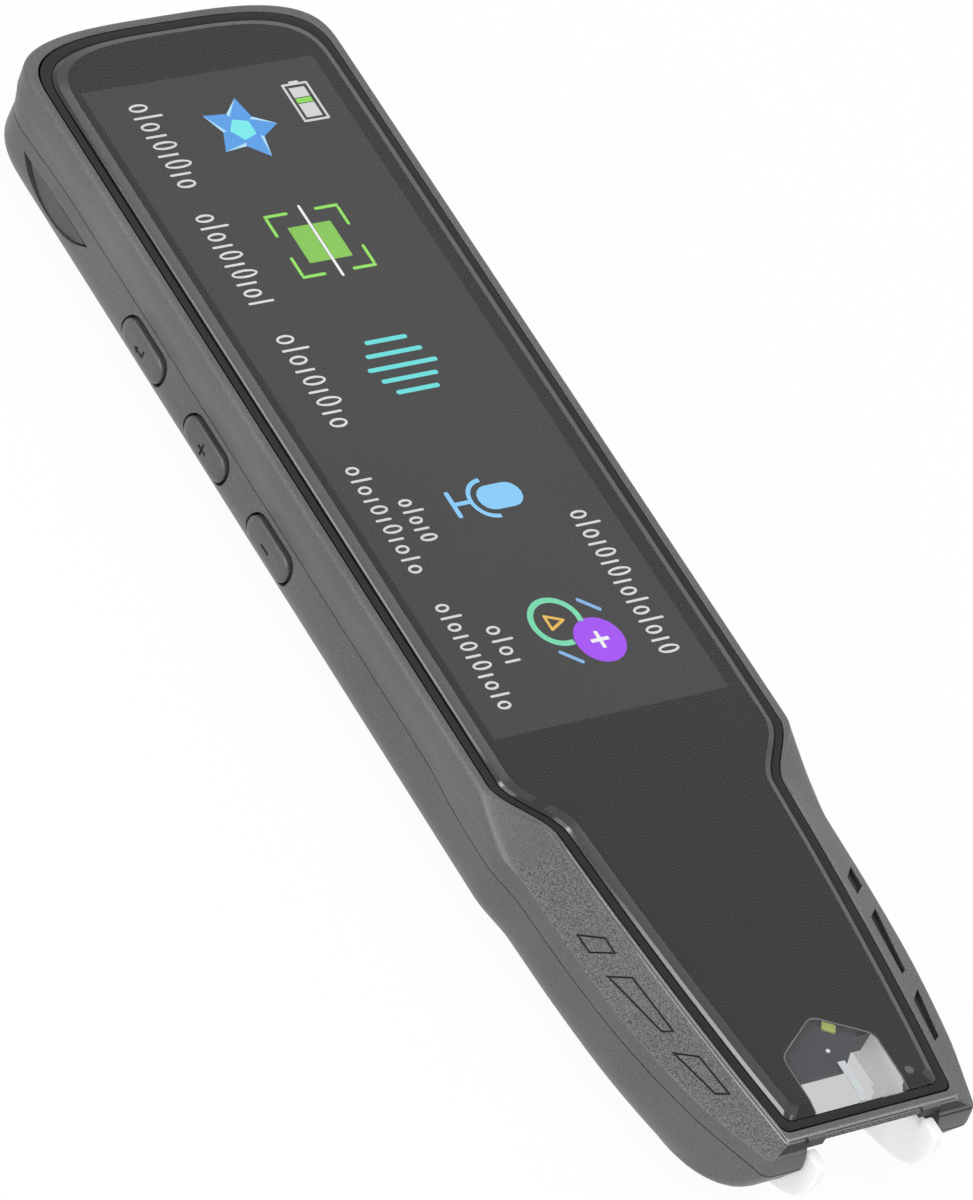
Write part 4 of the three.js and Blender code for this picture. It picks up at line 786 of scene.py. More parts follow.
rim_edge = rim_ring(-EDGE, RIM_DEPTH + RIM_EDGE_DROP, -NOSE_EDGE, -RAIL_EDGE, OUTER_CORNER)
parting, hollow_parting = (side_ring(hollow, PARTING_DEPTH, PARTING_TIP_DEPTH) for hollow in (0, HOLLOW))
crease = upper_ring(0, CREASE_DEPTH, 0.7)
front_levels = [
    (eased(hollow_parting, parting), 0.06),
    (wall_ring(0.84, 4.7, 0.4, 0, 2 * CREASE_WIDTH), 0),
    (wall_ring(0.5, 4.0, 0.6, NOSE_GROOVE, CREASE_WIDTH), 0),
    (eased(upper_ring(0.2, CREASE_DEPTH, 0.7), crease), 0.28),
    (eased(upper_ring(0.05, 2.7, 0.8), mixed(rim_edge, crease, 0.7)), 0),
    (eased(upper_ring(0, 2.1, 0.9), mixed(rim_edge, crease, 0.4)), 0),
    (rim_edge, 0.3),
    (rim_ring(-RIM_WIDTH, RIM_DEPTH, -NOSE_RIM_WIDTH, -RAIL_WIDTH, OUTER_CORNER), 0.2),
    (rim_ring(0, RIM_DEPTH), 0.08),
    (rim_ring(0, SHELF_TOP), 0),
    (rim_ring(SHELF_REACH, SHELF_TOP), 0),
    (rim_ring(SHELF_REACH, SHELF_BOTTOM), 0),
    (side_ring(WALL, SHELF_BOTTOM + CREASE_WIDTH, SHELF_BOTTOM, fall=CREASE_FALL), 0),
    (side_ring(WALL, PARTING_DEPTH, PARTING_TIP_DEPTH), 0),
]
front_shell = loft("front_casing", rounded(front_levels, closed=True), closed=True)
print("Front shell:", len(front_shell.data.polygons), "faces before cutting")

# %% [markdown]
# Three pockets are moulded in each slanted side of the nose, and the tip is open underneath, where the pen
# reads. Each pocket is cut with a small four-sided plug. The plug flares just where it leaves the surface,
# so the pocket's edge comes out with a narrow chamfer that glints. In the picture the left pockets are
# hardly sunk but have a dark line all round, and the right ones look deep. So a left plug is hollowed
# underneath: it cuts a narrow groove round a floor that stays almost level with the surface.

# %% Pockets, mouth and holes in the front shell
CUT_OVERRUN = 2
POCKET_DEPTHS = {-1: 0.24, 1: 0.45}
POCKET_FLARE, POCKET_GROOVE, POCKET_FLOOR = 0.04, 0.17, 0.05
POCKETS = (
    ((0.164, 0.72), (0.212, 0.3), (0.269, 0.32), (0.23, 0.73)),
    ((0.31, 0.72), (0.349, 0.33), (0.543, 0.34), (0.525, 0.55)),
    ((0.588, 0.65), (0.633, 0.26), (0.77, 0.28), (0.749, 0.56)),
)
TIP_HALF_WIDTH = RIM_HALF_WIDTH * RIM_NOSE_SHARES[-1]
MOUTH_HALF_WIDTH = TIP_HALF_WIDTH - 1.7
MOUTH_START = NOSE_END - 12.3
VISOR_DEPTH = 1.3
STOP_WIDTH, STOP_LENGTH, STOP_BOTTOM = 2, 0.9, 1.95
CHARGING_CLEARANCE = 0.2


def facet_point(side, nose_share, across):
    """A point on the nose's slanted side, by its share along the nose and from the rim to the crease."""
    station = between(SIDE_SHOULDER[1], NOSE_END, nose_share)
    rim_share = (station - RIM_SHOULDER[1]) / (NOSE_END - RIM_SHOULDER[1])
    rim_x = RIM_HALF_WIDTH * rim_nose(rim_share) + NOSE_EDGE
    crease_x = BODY_HALF_WIDTH * side_nose(nose_share)
    reach = tip_end_at(CREASE_TIP_DEPTH) - RIM_SHOULDER[0]
    fall = clamp((station - RIM_SHOULDER[0]) / reach) ** CREASE_FALL
    crease_depth = between(CREASE_DEPTH, CREASE_TIP_DEPTH, fall)
    depth = between(RIM_DEPTH + RIM_EDGE_DROP, crease_depth, across)
    return Vector((side * between(rim_x, crease_x, across), station, depth))


def pocket_plug(side, pocket):
    corners = [facet_point(side, *corner) for corner in pocket]
    normal = (corners[1] - corners[0]).cross(corners[3] - corners[0]).normalized()
    if normal.z > 0:
        normal = -normal
    reach = POCKET_DEPTHS[side]
    levels = [(-reach, 0), (-POCKET_FLARE, 0), (POCKET_FLARE, 2 * POCKET_FLARE), (reach, 2 * POCKET_FLARE)]
    if side < 0:
        levels = [(-POCKET_FLOOR, -POCKET_GROOVE), (-reach, -POCKET_GROOVE), *levels]
    rings = [[] for level in levels]
    for i, corner in enumerate(corners):
        back = (corners[i - 1] - corner).normalized()
        ahead = (corners[(i + 1) % len(corners)] - corner).normalized()
        outwards = -(back + ahead) / back.cross(ahead).length
        for ring, (lift, spread) in zip(rings, levels):
            ring.append(corner + normal * lift + outwards * spread)
    return loft("plug", rings)


def mouth_plug():
    stations = (MOUTH_START, PEN_LENGTH + CUT_OVERRUN)
    return block((-MOUTH_HALF_WIDTH, MOUTH_HALF_WIDTH), stations, (VISOR_DEPTH, PEN_THICKNESS + CUT_OVERRUN))


def charging_plug():
    x, stations, depths = pen_box("charging_socket")
    length, width = (ends[1] - ends[0] + 2 * CHARGING_CLEARANCE for ends in (x, depths))
    hole = pill((sum(x) / 2, sum(depths) / 2), length, width)
    return along_pen(hole, (-CUT_OVERRUN, stations[0] - FIT_GAP))


stop_outer = MOUTH_HALF_WIDTH - FIT_GAP / 3
stop_end = NOSE_END - STOP_LENGTH
stops, plugs = [], []
for side in (-1, 1):
    x = on_side(side, stop_outer - STOP_WIDTH, stop_outer)
    stops.append(block(x, (stop_end - STOP_LENGTH, stop_end), (RIM_DEPTH + FIT_GAP, STOP_BOTTOM)))
    plugs += [pocket_plug(side, pocket) for pocket in POCKETS]
combine(front_shell, [mouth_plug(), charging_plug()], "DIFFERENCE")
combine(front_shell, stops, "UNION")
combine(front_shell, plugs, "DIFFERENCE")
print("Front shell:", len(front_shell.data.polygons), "faces after cutting")

# %% [markdown]
# The slanted sides get the coarser grain. The rim's edge along them gets a lighter grey as a painted
# highlight, and the pockets' walls and the visor over the mouth a darker grey as painted shade. A face is
# known by where it lies and how far it leans up.

# %% Finishes of the front shell's faces
GRAINED = (RIM_SHOULDER[1] + 1, NOSE_END - 1.0)
SLANTED = (0.55, 0.97)
POCKET_WALL, POCKET_ALONG, POCKET_ACROSS = (0.09, 0.6), (0.1, 0.85), (0.15, 0.85)
RIM_EDGE_LEVEL = RIM_DEPTH + RIM_EDGE_DROP * 0.9
VISOR_START, VISOR_HALF_WIDTH, VISOR_TOP, VISOR_LEAN = (
    RIM_END + 0.3, MOUTH_HALF_WIDTH + 1.6, RIM_DEPTH + 0.1, 0.9,
)
NOSE, RIM_PAINTED_HIGHLIGHT, PAINTED_SHADE = 1, 2, 3


def below_side(x, station, depth):
    """How far a place near the pockets lies below the nose's slanted side."""
    side = 1 if x > 0 else -1
    share = (station - SIDE_SHOULDER[1]) / (NOSE_END - SIDE_SHOULDER[1])
    inner, outer = facet_point(side, share, 0), facet_point(side, share, 1)
    across = (x - inner.x) / (outer.x - inner.x)
    if not (within(share, POCKET_ALONG) and within(across, POCKET_ACROSS)):
        return 0
    return depth - between(inner.z, outer.z, across)


finishes = shell_grey, nose_grey, rim_edge_painted_highlight_grey, nose_painted_shade_grey
dress(front_shell, finishes, "casing", "front_shell")
for face in front_shell.data.polygons:
    x, station, depth = pen_place(face.center)
    up = face.normal.z
    in_front = station > VISOR_START and abs(x) < VISOR_HALF_WIDTH
    # Pocket walls and the visor's front face are darkened with painted shade.
    if within(below_side(x, station, depth), POCKET_WALL):
        face.material_index = PAINTED_SHADE
    elif within(station, GRAINED) and within(up, SLANTED):
        # These rim faces get the lighter grey of a painted highlight.
        face.material_index = NOSE if depth > RIM_EDGE_LEVEL else RIM_PAINTED_HIGHLIGHT
    elif in_front and up < VISOR_LEAN and depth > VISOR_TOP:
        face.material_index = PAINTED_SHADE
darker = sum(face.material_index == PAINTED_SHADE for face in front_shell.data.polygons)
print("Front shell:", len(front_shell.data.polygons), "faces, the darker ones", darker)

# %% [markdown]
# The back shell is a tray. Its lower edge is a quarter round that runs to the flat back, and at the tip it
# sweeps up to the chin. A lip inside the parting edge takes the front shell, and four bosses and two guides
# for the feet stand on its floor. They are joined to the skin, because they are one moulding with it.

# %% Back shell
BACK_CORNER, CORNER_LEVELS, INNER_LEVELS = 3.9, 12, 6
LIP_RISE, LIP_WALL = 1, 0.8
FLOOR_DEPTH = PEN_THICKNESS - WALL


def back_ring(inset, depth, base=PEN_THICKNESS):
    share = (depth - PARTING_DEPTH) / (base - PARTING_DEPTH)
    tip_depth = max(between(PARTING_TIP_DEPTH, base, share), PARTING_TIP_DEPTH - FIT_GAP)
    corner = between(SIDE_CORNER, CHIN_CORNER, clamp(share))
    end_inset = min(inset, WALL + FIT_GAP + LIP_WALL)
    return side_ring(inset, depth, tip_depth, end_inset=end_inset, corner=corner)


def quarter(steps, radius, floor, extra=0):
    """Levels down the rounded corner between a wall and a floor."""
    levels = []
    for i in range(steps + 1):
        angle = math.pi / 2 * i / steps
        depth = floor - radius * (1 - math.sin(angle))
        levels.append((back_ring(extra + radius * (1 - math.cos(angle)), depth, floor), 0))
    return levels


lip = WALL + FIT_GAP
lip_root = PARTING_DEPTH + PARTING_LINE
lip_top = PARTING_DEPTH - LIP_RISE
back_levels = [
    *reversed(quarter(CORNER_LEVELS, BACK_CORNER, PEN_THICKNESS)),
    (eased(back_ring(HOLLOW, lip_root), back_ring(0, lip_root)), 0.06),
    (back_ring(lip, lip_root), 0),
    (back_ring(lip, lip_top), 0),
    (back_ring(lip + LIP_WALL, lip_top), 0),
    (back_ring(lip + LIP_WALL, lip_root), 0),
    *quarter(INNER_LEVELS, BACK_CORNER - WALL, FLOOR_DEPTH, WALL),
]
back_shell = loft("back_casing", rounded(back_levels))
print("Back shell:", len(back_shell.data.polygons), "faces before cutting")

# %% Bosses and guides inside the back shell
BOARD_BOTTOM = pen_box("main_board")[2][1]
SCREW_COUNT, SCREW_RADIUS, SCREW_EXTRA, BOSS_RADIUS, HOLE_STEPS = 4, 1, 0.5, 1.9, 32
FLOOR_MIDDLE = FLOOR_DEPTH + WALL / 2
GUIDE_STATIONS, GUIDE_TOP, GUIDE_STEPS = (MOUTH_START - 8, NOSE_END - 3.3), 3.7, 10
GUIDE_WIDTH = 1.2
FOOT_BAR = pen_box("scan_foot")[1][0]
SPRING_X, SPRING_DEPTH, BORE_SIZE, BORE_STRETCH = 4.1, 9.05, 2.6, 0.0001
BORE_STATIONS = (FOOT_BAR - 6.75, FOOT_BAR - 1.8)
SPRING_BLOCK_HALF, SPRING_BLOCK_TOP = 1.7, 7.4
SPRING_BLOCK_STATIONS = (FOOT_BAR - 7.4, FOOT_BAR - 2.8)
REST_HALF_WIDTH, REST_TOP, REST_STATIONS = 3.5, 7.1, (MOUTH_START - 2.4, MOUTH_START - FIT_GAP)


def foot_guide(x):
    """A guide for one of the foot's blades, which ends inside the chin's curve."""
    points = [(GUIDE_STATIONS[0], FLOOR_MIDDLE), (GUIDE_STATIONS[0], GUIDE_TOP)]
    for i in range(GUIDE_STEPS + 1):
        depth = between(GUIDE_TOP, FLOOR_MIDDLE, i / GUIDE_STEPS)
        points.append((min(GUIDE_STATIONS[1], tip_end_at(depth) - WALL), depth))
    return across_pen(points, x)


inside, holes = [], []
for i in range(1, SCREW_COUNT + 1):
    x, stations, depths = pen_box(f"board_screw_{i}")
    middle = sum(x) / 2, sum(stations) / 2
    boss, screw_hole = (disc(middle, radius, HOLE_STEPS) for radius in (BOSS_RADIUS, SCREW_RADIUS))
    inside.append(down_pen(boss, (BOARD_BOTTOM, FLOOR_MIDDLE)))
    holes.append(down_pen(screw_hole, (BOARD_BOTTOM - CUT_OVERRUN, depths[1] + SCREW_EXTRA)))
for side in (-1, 1):
    inside.append(foot_guide(on_side(side, MOUTH_HALF_WIDTH, MOUTH_HALF_WIDTH + GUIDE_WIDTH)))
    block_x = on_side(side, SPRING_X - SPRING_BLOCK_HALF, SPRING_X + SPRING_BLOCK_HALF)
    inside.append(block(block_x, SPRING_BLOCK_STATIONS, (SPRING_BLOCK_TOP, FLOOR_MIDDLE)))
    bore = pill((side * SPRING_X, SPRING_DEPTH), BORE_SIZE + BORE_STRETCH, BORE_SIZE)
    holes.append(along_pen(bore, BORE_STATIONS))
inside.append(block((-REST_HALF_WIDTH, REST_HALF_WIDTH), REST_STATIONS, (REST_TOP, FLOOR_MIDDLE)))
combine(back_shell, inside, "UNION")
print("Back shell:", len(back_shell.data.polygons), "faces with its bosses and guides")

# %% [markdown]
# Now the holes of the back shell: the open mouth at the tip, the charging hole and the microphone's pinhole
# in the top end, five slots under the speaker, and the openings for the four side keys. A key's opening is
# the key's own outline with a gap that's a little wider above, and a pocket behind it holds the key's flange.

# %% Key shapes
KEY_GAP, KEY_GAP_SHIFT, KEY_FLANGE = 0.28, 0.16, 0.4
KEY_POCKET_REACH, KEY_HOLE_REACH = 1.5, 0.9
POWER_NOTCH, POWER_SLOT, POWER_SAG, POWER_TOP = 0.8, 0.05, 2.3, 6.9
WALL_INSIDE = -BODY_HALF_WIDTH + WALL + FIT_GAP - 0.3
KEYS = ("return", "plus", "minus", "power")


def lens_shape(middle, half_length, sag, steps=28):
    """The power key's outline: straight above, an arc below."""
    radius = (half_length**2 + sag**2) / (2 * sag)
    spread = math.asin(half_length / radius)
    points = []
    for i in range(steps + 1):
        angle = between(-spread, spread, i / steps)
        drop = sag - radius * (1 - math.cos(angle))
        points.append((middle[0] + radius * math.sin(angle), middle[1] + drop))
    return points


def key_facts(name):
    """The middle, cap sizes, face and back of a key, read from the ready piece with its flange."""
    x, stations, depths = pen_box(f"{name}_key")
    length, width = (ends[1] - ends[0] - 2 * KEY_FLANGE for ends in (stations, depths))
    return (sum(stations) / 2, sum(depths) / 2), length, width, *x


def key_block(name, x, margin):
    """A block behind a key's cap, larger than the cap by a margin all round."""
    middle, *sizes = key_facts(name)[:3]
    return block(x, *(
        (centre - (size / 2 + margin), centre + (size / 2 + margin)) for centre, size in zip(middle, sizes)
    ))


def key_opening(name):
    middle, length, width, face, back = key_facts(name)
    if name == "power":
        middle = middle[0] - POWER_NOTCH / 2, POWER_TOP - POWER_SLOT / 2
        hole = lens_shape(middle, length / 2 + POWER_NOTCH, POWER_SAG + POWER_SLOT)
    else:
        middle = middle[0] + KEY_GAP_SHIFT, middle[1] - KEY_GAP_SHIFT
        hole = pill(middle, length + 2 * KEY_GAP, width + 2 * KEY_GAP)
    pocket = key_block(name, (WALL_INSIDE, WALL_INSIDE + KEY_POCKET_REACH), KEY_FLANGE + KEY_GAP)
    return [across_pen(hole, (-BODY_HALF_WIDTH - CUT_OVERRUN, WALL_INSIDE + KEY_HOLE_REACH)), pocket]


for name in KEYS:
    print(name, "key is", [round(size, 2) for size in key_facts(name)[1:3]], "mm long and wide")

# %% Cut the back shell
SLOT_COUNT, SLOT_PITCH, SLOT_LENGTH, SLOT_WIDTH, SLOT_STEPS = 5, 1.8, 10, 0.9, 8
SLOT_LEVELS = (FLOOR_DEPTH - 0.4, PEN_THICKNESS + 1)
PINHOLE, PINHOLE_STRETCH, PINHOLE_REACH = 0.9, 0.0001, 0.3
FLAT_BACK = -0.9999
speaker_middle = sum(pen_box("speaker")[1]) / 2
for i in range(SLOT_COUNT):
    station = speaker_middle + (i - (SLOT_COUNT - 1) / 2) * SLOT_PITCH
    holes.append(down_pen(pill((0, station), SLOT_LENGTH, SLOT_WIDTH, SLOT_STEPS), SLOT_LEVELS))
x, stations, depths = pen_box("microphone")
pinhole = pill((sum(x) / 2, depths[1]), PINHOLE + PINHOLE_STRETCH, PINHOLE, SLOT_STEPS)
holes.append(along_pen(pinhole, (-CUT_OVERRUN, stations[0] - PINHOLE_REACH)))
for name in KEYS:
    holes += key_opening(name)
combine(back_shell, [mouth_plug(), charging_plug(), *holes], "DIFFERENCE")
dress(back_shell, [shell_grey], "casing", "back_shell")
for face in back_shell.data.polygons:
    face.use_smooth = face.normal.z > FLAT_BACK
print("Back shell:", len(back_shell.data.polygons), "faces")

# %% [markdown]
# The frame is the black step between the rim and the glass. The glass lies in it with a chamfered edge that
# stands proud, and that edge draws the grey band round the screen in the picture. A polished chamfer would
# mirror a lamp at one place only. This one is softly ground, so it glows along its whole length. The narrow
# corner outside it stays polished, and over the window both stay clear.

# %% Frame and glass
GLASS_THICKNESS, PRINT_BOTTOM = 0.8, 0.9
LEDGE_WIDTH, SEAT_REACH, SEAT_CLEARANCE = 1.05, 1.3, 0.05
FRAME_STEP = LEDGE_WIDTH - SEAT_CLEARANCE
GLASS_CHAMFER, GLASS_CHAMFER_DROP, GLASS_TOP_REACH = 1.0, 0.35, 0.5
GLASS_CORNER, NOSE_GLASS_CORNER, GLASS_CORNER_ROUND, GLASS_ANGLE = 0.17, 0.28, 0.02, 14
FLAT_LEAN, CHAMFER_LEAN, UNDER_LEAN = 0.985, 0.85, -0.5
GROUND, POLISHED = 1, 2
WINDOW_HALF_WIDTH = TIP_HALF_WIDTH - 3.9
WINDOW_GLASS_START, WINDOW_END = RIM_END - 4, RIM_END - 1.2

seat = FRAME_STEP + SEAT_REACH
frame_levels = [
    (rim_ring(FIT_GAP, RIM_DEPTH), 0.08),
    (rim_ring(FRAME_STEP, RIM_DEPTH), 0.06),
    (rim_ring(FRAME_STEP, PRINT_BOTTOM), 0),
    (rim_ring(seat, PRINT_BOTTOM), 0),
    (rim_ring(seat, SHELF_TOP), 0),
    (rim_ring(FIT_GAP, SHELF_TOP), 0),
]
black_frame = loft("black_frame", rounded(frame_levels, closed=True), closed=True)
seat_x = (-WINDOW_HALF_WIDTH, WINDOW_HALF_WIDTH)
seat_stations = (RIM_END - seat - 1, RIM_END - FRAME_STEP - SEAT_CLEARANCE)
seat_cut = block(seat_x, seat_stations, (PRINT_BOTTOM - SEAT_CLEARANCE, SHELF_TOP + 1))
combine(black_frame, [seat_cut], "DIFFERENCE")
dress(black_frame, [frame_black], "casing", "bezel_frame")


def glass_corner(inner, drop, nose_inner, nose_drop):
    """A level at the glass's corner and its radius, with places of its own on the nose."""
    straight = rim_ring(LEDGE_WIDTH + inner, GLASS_CHAMFER_DROP + drop)
    ends = rim_ring(LEDGE_WIDTH + nose_inner, GLASS_CHAMFER_DROP + nose_drop)
    return eased(straight, ends), GLASS_CORNER_ROUND


chamfer_in = LEDGE_WIDTH + GLASS_CHAMFER
glass_levels = [
    (rim_ring(LEDGE_WIDTH, GLASS_THICKNESS), 0),
    glass_corner(0, GLASS_CORNER, 0, NOSE_GLASS_CORNER),
    glass_corner(GLASS_CORNER, 0, NOSE_GLASS_CORNER, 0),
    (rim_ring(chamfer_in, 0), 0.06),
    (rim_ring(chamfer_in + GLASS_TOP_REACH, 0), 0),
]
glass = loft("clear_cover", rounded(glass_levels))
finishes = cover_clear, ground_glass, polished_glass
dress(glass, finishes, "casing", "cover_glass", GLASS_ANGLE)
for face in glass.data.polygons:
    x, station, depth = pen_place(face.center)
    up = face.normal.z
    over_window = station > WINDOW_GLASS_START and abs(x) < WINDOW_HALF_WIDTH
    if not over_window and UNDER_LEAN <= up <= FLAT_LEAN:
        face.material_index = GROUND if up > CHAMFER_LEAN else POLISHED
print("Frame and glass:", len(black_frame.data.polygons), len(glass.data.polygons), "faces")

# %% [markdown]
# The glass is printed black underneath, except over the screen, the light sensor and the five-sided window
# at the tip. The ready print has coarse corners, so it's cut again here. Behind the window lies a smoked
# film, whose tint is painted shade standing in for the shade inside the mouth. A dark glass would do the
# same, but then the sensor and the screen would be dimmed too.

# %% Black print and window film of painted shade
SCREEN_X, SCREEN_STATIONS = RIM_HALF_WIDTH - 3.25, (7.6, RIM_SHOULDER[0] - 4.3)
SENSOR_HOLE = 0.45
WINDOW_SHOULDER = WINDOW_END - 6.2
WINDOW_APEX = WINDOW_SHOULDER - 3.3
WINDOW_CORNER, SCREEN_CORNER, TIP_CORNER = 0.9, 0.25, 0.05
OUTLINE_WIDTH, OUTLINE_THICKNESS = 0.16, 0.04
FILM_MARGIN, FILM_THICKNESS = 0.3, 0.05


def rounded_polygon(corners, steps=8):
    """The points of a polygon whose corners, given as x, station and radius, are rounded off."""
    points = []
    for i, (*spot, radius) in enumerate(corners):
        corner = Vector(spot)
        start, end = (
            corner + (Vector(other[:2]) - corner).normalized() * radius
            for other in (corners[i - 1], corners[(i + 1) % len(corners)])
        )
        points += [bent(start, corner, end, step / steps) for step in range(steps + 1)]
    return points


def window_outline(grow):
    """The window's outline, made wider by the given amount on the sides that the print cuts off."""
    half, shoulder = WINDOW_HALF_WIDTH + grow, WINDOW_SHOULDER - grow / 2
    return rounded_polygon([
        (0, WINDOW_APEX - grow, WINDOW_CORNER),
        (half, shoulder, WINDOW_CORNER), (half, WINDOW_END, TIP_CORNER),
        (-half, WINDOW_END, TIP_CORNER), (-half, shoulder, WINDOW_CORNER),
    ])


screen_corners = rectangle((-SCREEN_X, SCREEN_X), SCREEN_STATIONS)
screen_outline = rounded_polygon([(*corner, SCREEN_CORNER) for corner in screen_corners])
cut_levels = (GLASS_THICKNESS - CUT_OVERRUN, PRINT_BOTTOM + CUT_OVERRUN)
sensor = [sum(ends) / 2 for ends in pen_box("light_sensor")[:2]]
print_rings = [rim_ring(LEDGE_WIDTH + FIT_GAP, depth) for depth in (GLASS_THICKNESS, PRINT_BOTTOM)]
black_print = loft("black_print", print_rings)
print_holes = (screen_outline, window_outline(0), disc(sensor, SENSOR_HOLE, HOLE_STEPS))
combine(black_print, [down_pen(points, cut_levels) for points in print_holes], "DIFFERENCE")
film_top = PRINT_BOTTOM + FIT_GAP / 3
window_shade_film = down_pen(window_outline(FILM_MARGIN), (film_top, film_top + FILM_THICKNESS), "window_shade_film")
edge_levels = (PRINT_BOTTOM - OUTLINE_THICKNESS, PRINT_BOTTOM)
window_edge = down_pen(window_outline(0), edge_levels, "window_outline")
inner_cut = down_pen(window_outline(-OUTLINE_WIDTH), cut_levels)
end_cut = block((-BODY_HALF_WIDTH, BODY_HALF_WIDTH), (WINDOW_END - OUTLINE_WIDTH, RIM_END), cut_levels)
combine(window_edge, [inner_cut, end_cut], "DIFFERENCE")
dress(black_print, [print_black], "casing", "front_print")
dress(window_shade_film, [window_painted_shade_smoke], "casing")
dress(window_edge, [outline_grey], "casing")
print("Print and window film:", len(black_print.data.polygons), len(window_shade_film.data.polygons), "faces")

# %% [markdown]
# Each side key is a cap with a softly rounded face, a flange behind it and a small mark sunk in its face.
# The marks are plain signs: a bent arrow, a plus and a minus. The power key is lens shaped and unmarked.

# %% Key caps
PILLOW_WIDTH, PILLOW_DROP, PILLOW_STEPS = 1.15, 0.45, 12
POWER_EDGE, POWER_EDGE_DROP, POWER_TILT, POWER_SINK = 0.08, 0.06, 0.04, 0.05
MARK_DEPTH, MARK_LENGTH, MARK_WIDTH, MARK_HEAD = 0.3, 1.4, 0.3, 0.45


def mark_cutters(name, middle, face):
    station, depth = middle
    levels = (face - 1, face + MARK_DEPTH)
    reach, half = MARK_LENGTH / 2, MARK_WIDTH / 2
    bars = [block(levels, (station - reach, station + reach), (depth - half, depth + half))]
    if name == "plus":
        bars.append(block(levels, (station - half, station + half), (depth - reach, depth + reach)))
    if name != "return":
        return bars
    bpy.data.objects.remove(bars[0])
    arrow = [
        (-reach - MARK_HEAD / 2, 0), (-reach + MARK_HEAD, -MARK_HEAD), (-reach + MARK_HEAD, -half),
        (reach - 2 * half, -half), (reach - 2 * half, -reach), (reach, -reach), (reach, half),
        (-reach + MARK_HEAD, half), (-reach + MARK_HEAD, MARK_HEAD),
    ]
    return [across_pen([(station + ahead, depth + half + down) for ahead, down in arrow], levels)]


def key_cap(name, middle, length, width, face, back):
    rings = []
    for i in range(PILLOW_STEPS + 1):
        angle = math.pi / 2 * i / PILLOW_STEPS
        drop, edge = 1 - math.cos(angle), 1 - math.sin(angle)
        if name == "power":
            x, inset = face + POWER_SINK + POWER_EDGE_DROP * drop, POWER_EDGE * edge
            top = middle[0], POWER_TOP + inset
            points = lens_shape(top, length / 2 - 2 * inset, POWER_SAG - 2 * inset)
            ring = [(x + POWER_TILT * (depth - POWER_TOP), station, depth) for station, depth in points]
        else:
            x, inset = face + PILLOW_DROP * drop, PILLOW_WIDTH * edge
            ring = [(x, *point) for point in pill(middle, length - 2 * inset, width - 2 * inset)]
        rings.append([Vector(point) for point in ring])
    rings.append([Vector((back, point.y, point.z)) for point in rings[-1]])
    return loft(f"{name}_cap", rings)


for name in KEYS:
    middle, length, width, face, back = key_facts(name)
    cap = key_cap(name, middle, length, width, face, back)
    combine(cap, [key_block(name, (-BODY_HALF_WIDTH + WALL + FIT_GAP, back), KEY_FLANGE)], "UNION")
    if name != "power":
        combine(cap, mark_cutters(name, middle, face), "DIFFERENCE")
    # The power key gets the key grey's copy with painted shade.
    finishes = [power_key_painted_shade_grey if name == "power" else key_grey]
    dress(cap, finishes, f"{name}_button", f"{name}_key", SOFT_ANGLE)
print("Key caps are in place")

# %% [markdown]
# The foot is one milky moulding: two blades that touch the paper beside the mouth, joined by a bar behind
# the camera. The blades' ends bulge from the visor and curve back underneath. A bevel rounds every edge
# here, since this outline is a simple plate and the bevel runs round it in one go.

# %% Scanning foot
FOOT_TOP, BLADE_TOP, BAR_TOP, BAR_LENGTH = 2.2, 3.2, 7.8, 2
FOOT_REACH, FOOT_STEPS = 8, 28
FOOT_DEPTH_SHARES = (0.183, 0.375, 0.592, 0.733, 0.842)
FOOT_END_SHARES = (0.025, 0, 0.1125, 0.4125, 0.9125)
BLADE_THICKNESS, BLADE_ROUND, BLADE_BACK, BLADE_STEP = 1.15, 0.3, 0.6, NOSE_END - 0.9
foot_x, foot_stations, foot_depths = pen_box("scan_foot")
foot_front = curve_through(FOOT_DEPTH_SHARES, FOOT_END_SHARES)
foot_base = foot_depths[1]


def blade(x):
    back = foot_stations[0] + BAR_LENGTH + BLADE_BACK
    points = [
        (foot_stations[0], foot_base), (foot_stations[0], BAR_TOP), (back, BAR_TOP),
        (back, BLADE_TOP), (BLADE_STEP, BLADE_TOP), (BLADE_STEP, FOOT_TOP),
    ]
    lowest = PEN_THICKNESS * FOOT_DEPTH_SHARES[-1]
    for i in range(FOOT_STEPS + 1):
        depth = between(FOOT_TOP, lowest, i / FOOT_STEPS)
        station = PEN_LENGTH - FOOT_REACH * foot_front(depth / PEN_THICKNESS)
        points.append((min(station, foot_stations[1]), depth))
    made = across_pen([*points, (MOUTH_START, foot_base)], (x, x + BLADE_THICKNESS))
    bevel(made, BLADE_ROUND)
    return made


foot, other_blade = blade(foot_x[0]), blade(foot_x[1] - BLADE_THICKNESS)
foot.name = "milky_foot"
bar = block(
    (foot_x[0] + BLADE_ROUND, foot_x[1] - BLADE_ROUND),
    (foot_stations[0] + BLADE_ROUND, foot_stations[0] + BAR_LENGTH),
    (BAR_TOP + BLADE_ROUND, foot_base - BLADE_ROUND),
)
combine(foot, [other_blade, bar], "UNION")
dress(foot, [foot_white_painted_glow], "foot", "scan_foot", SOFT_ANGLE)
print("Foot:", len(foot.data.polygons), "faces")

# %% [markdown]
# The screen shows five plain signs in a row, a battery sign, and rows of blank marks where the words would
# be. Each sign is a thin sheet on the screen's face that shines in its own colour. A picture texture would
# be the usual way. Shapes stay sharp at any size and need no file. The camera looks at the screen at a
# slant through the glass, so each sign is shifted a little against where it seems to lie.

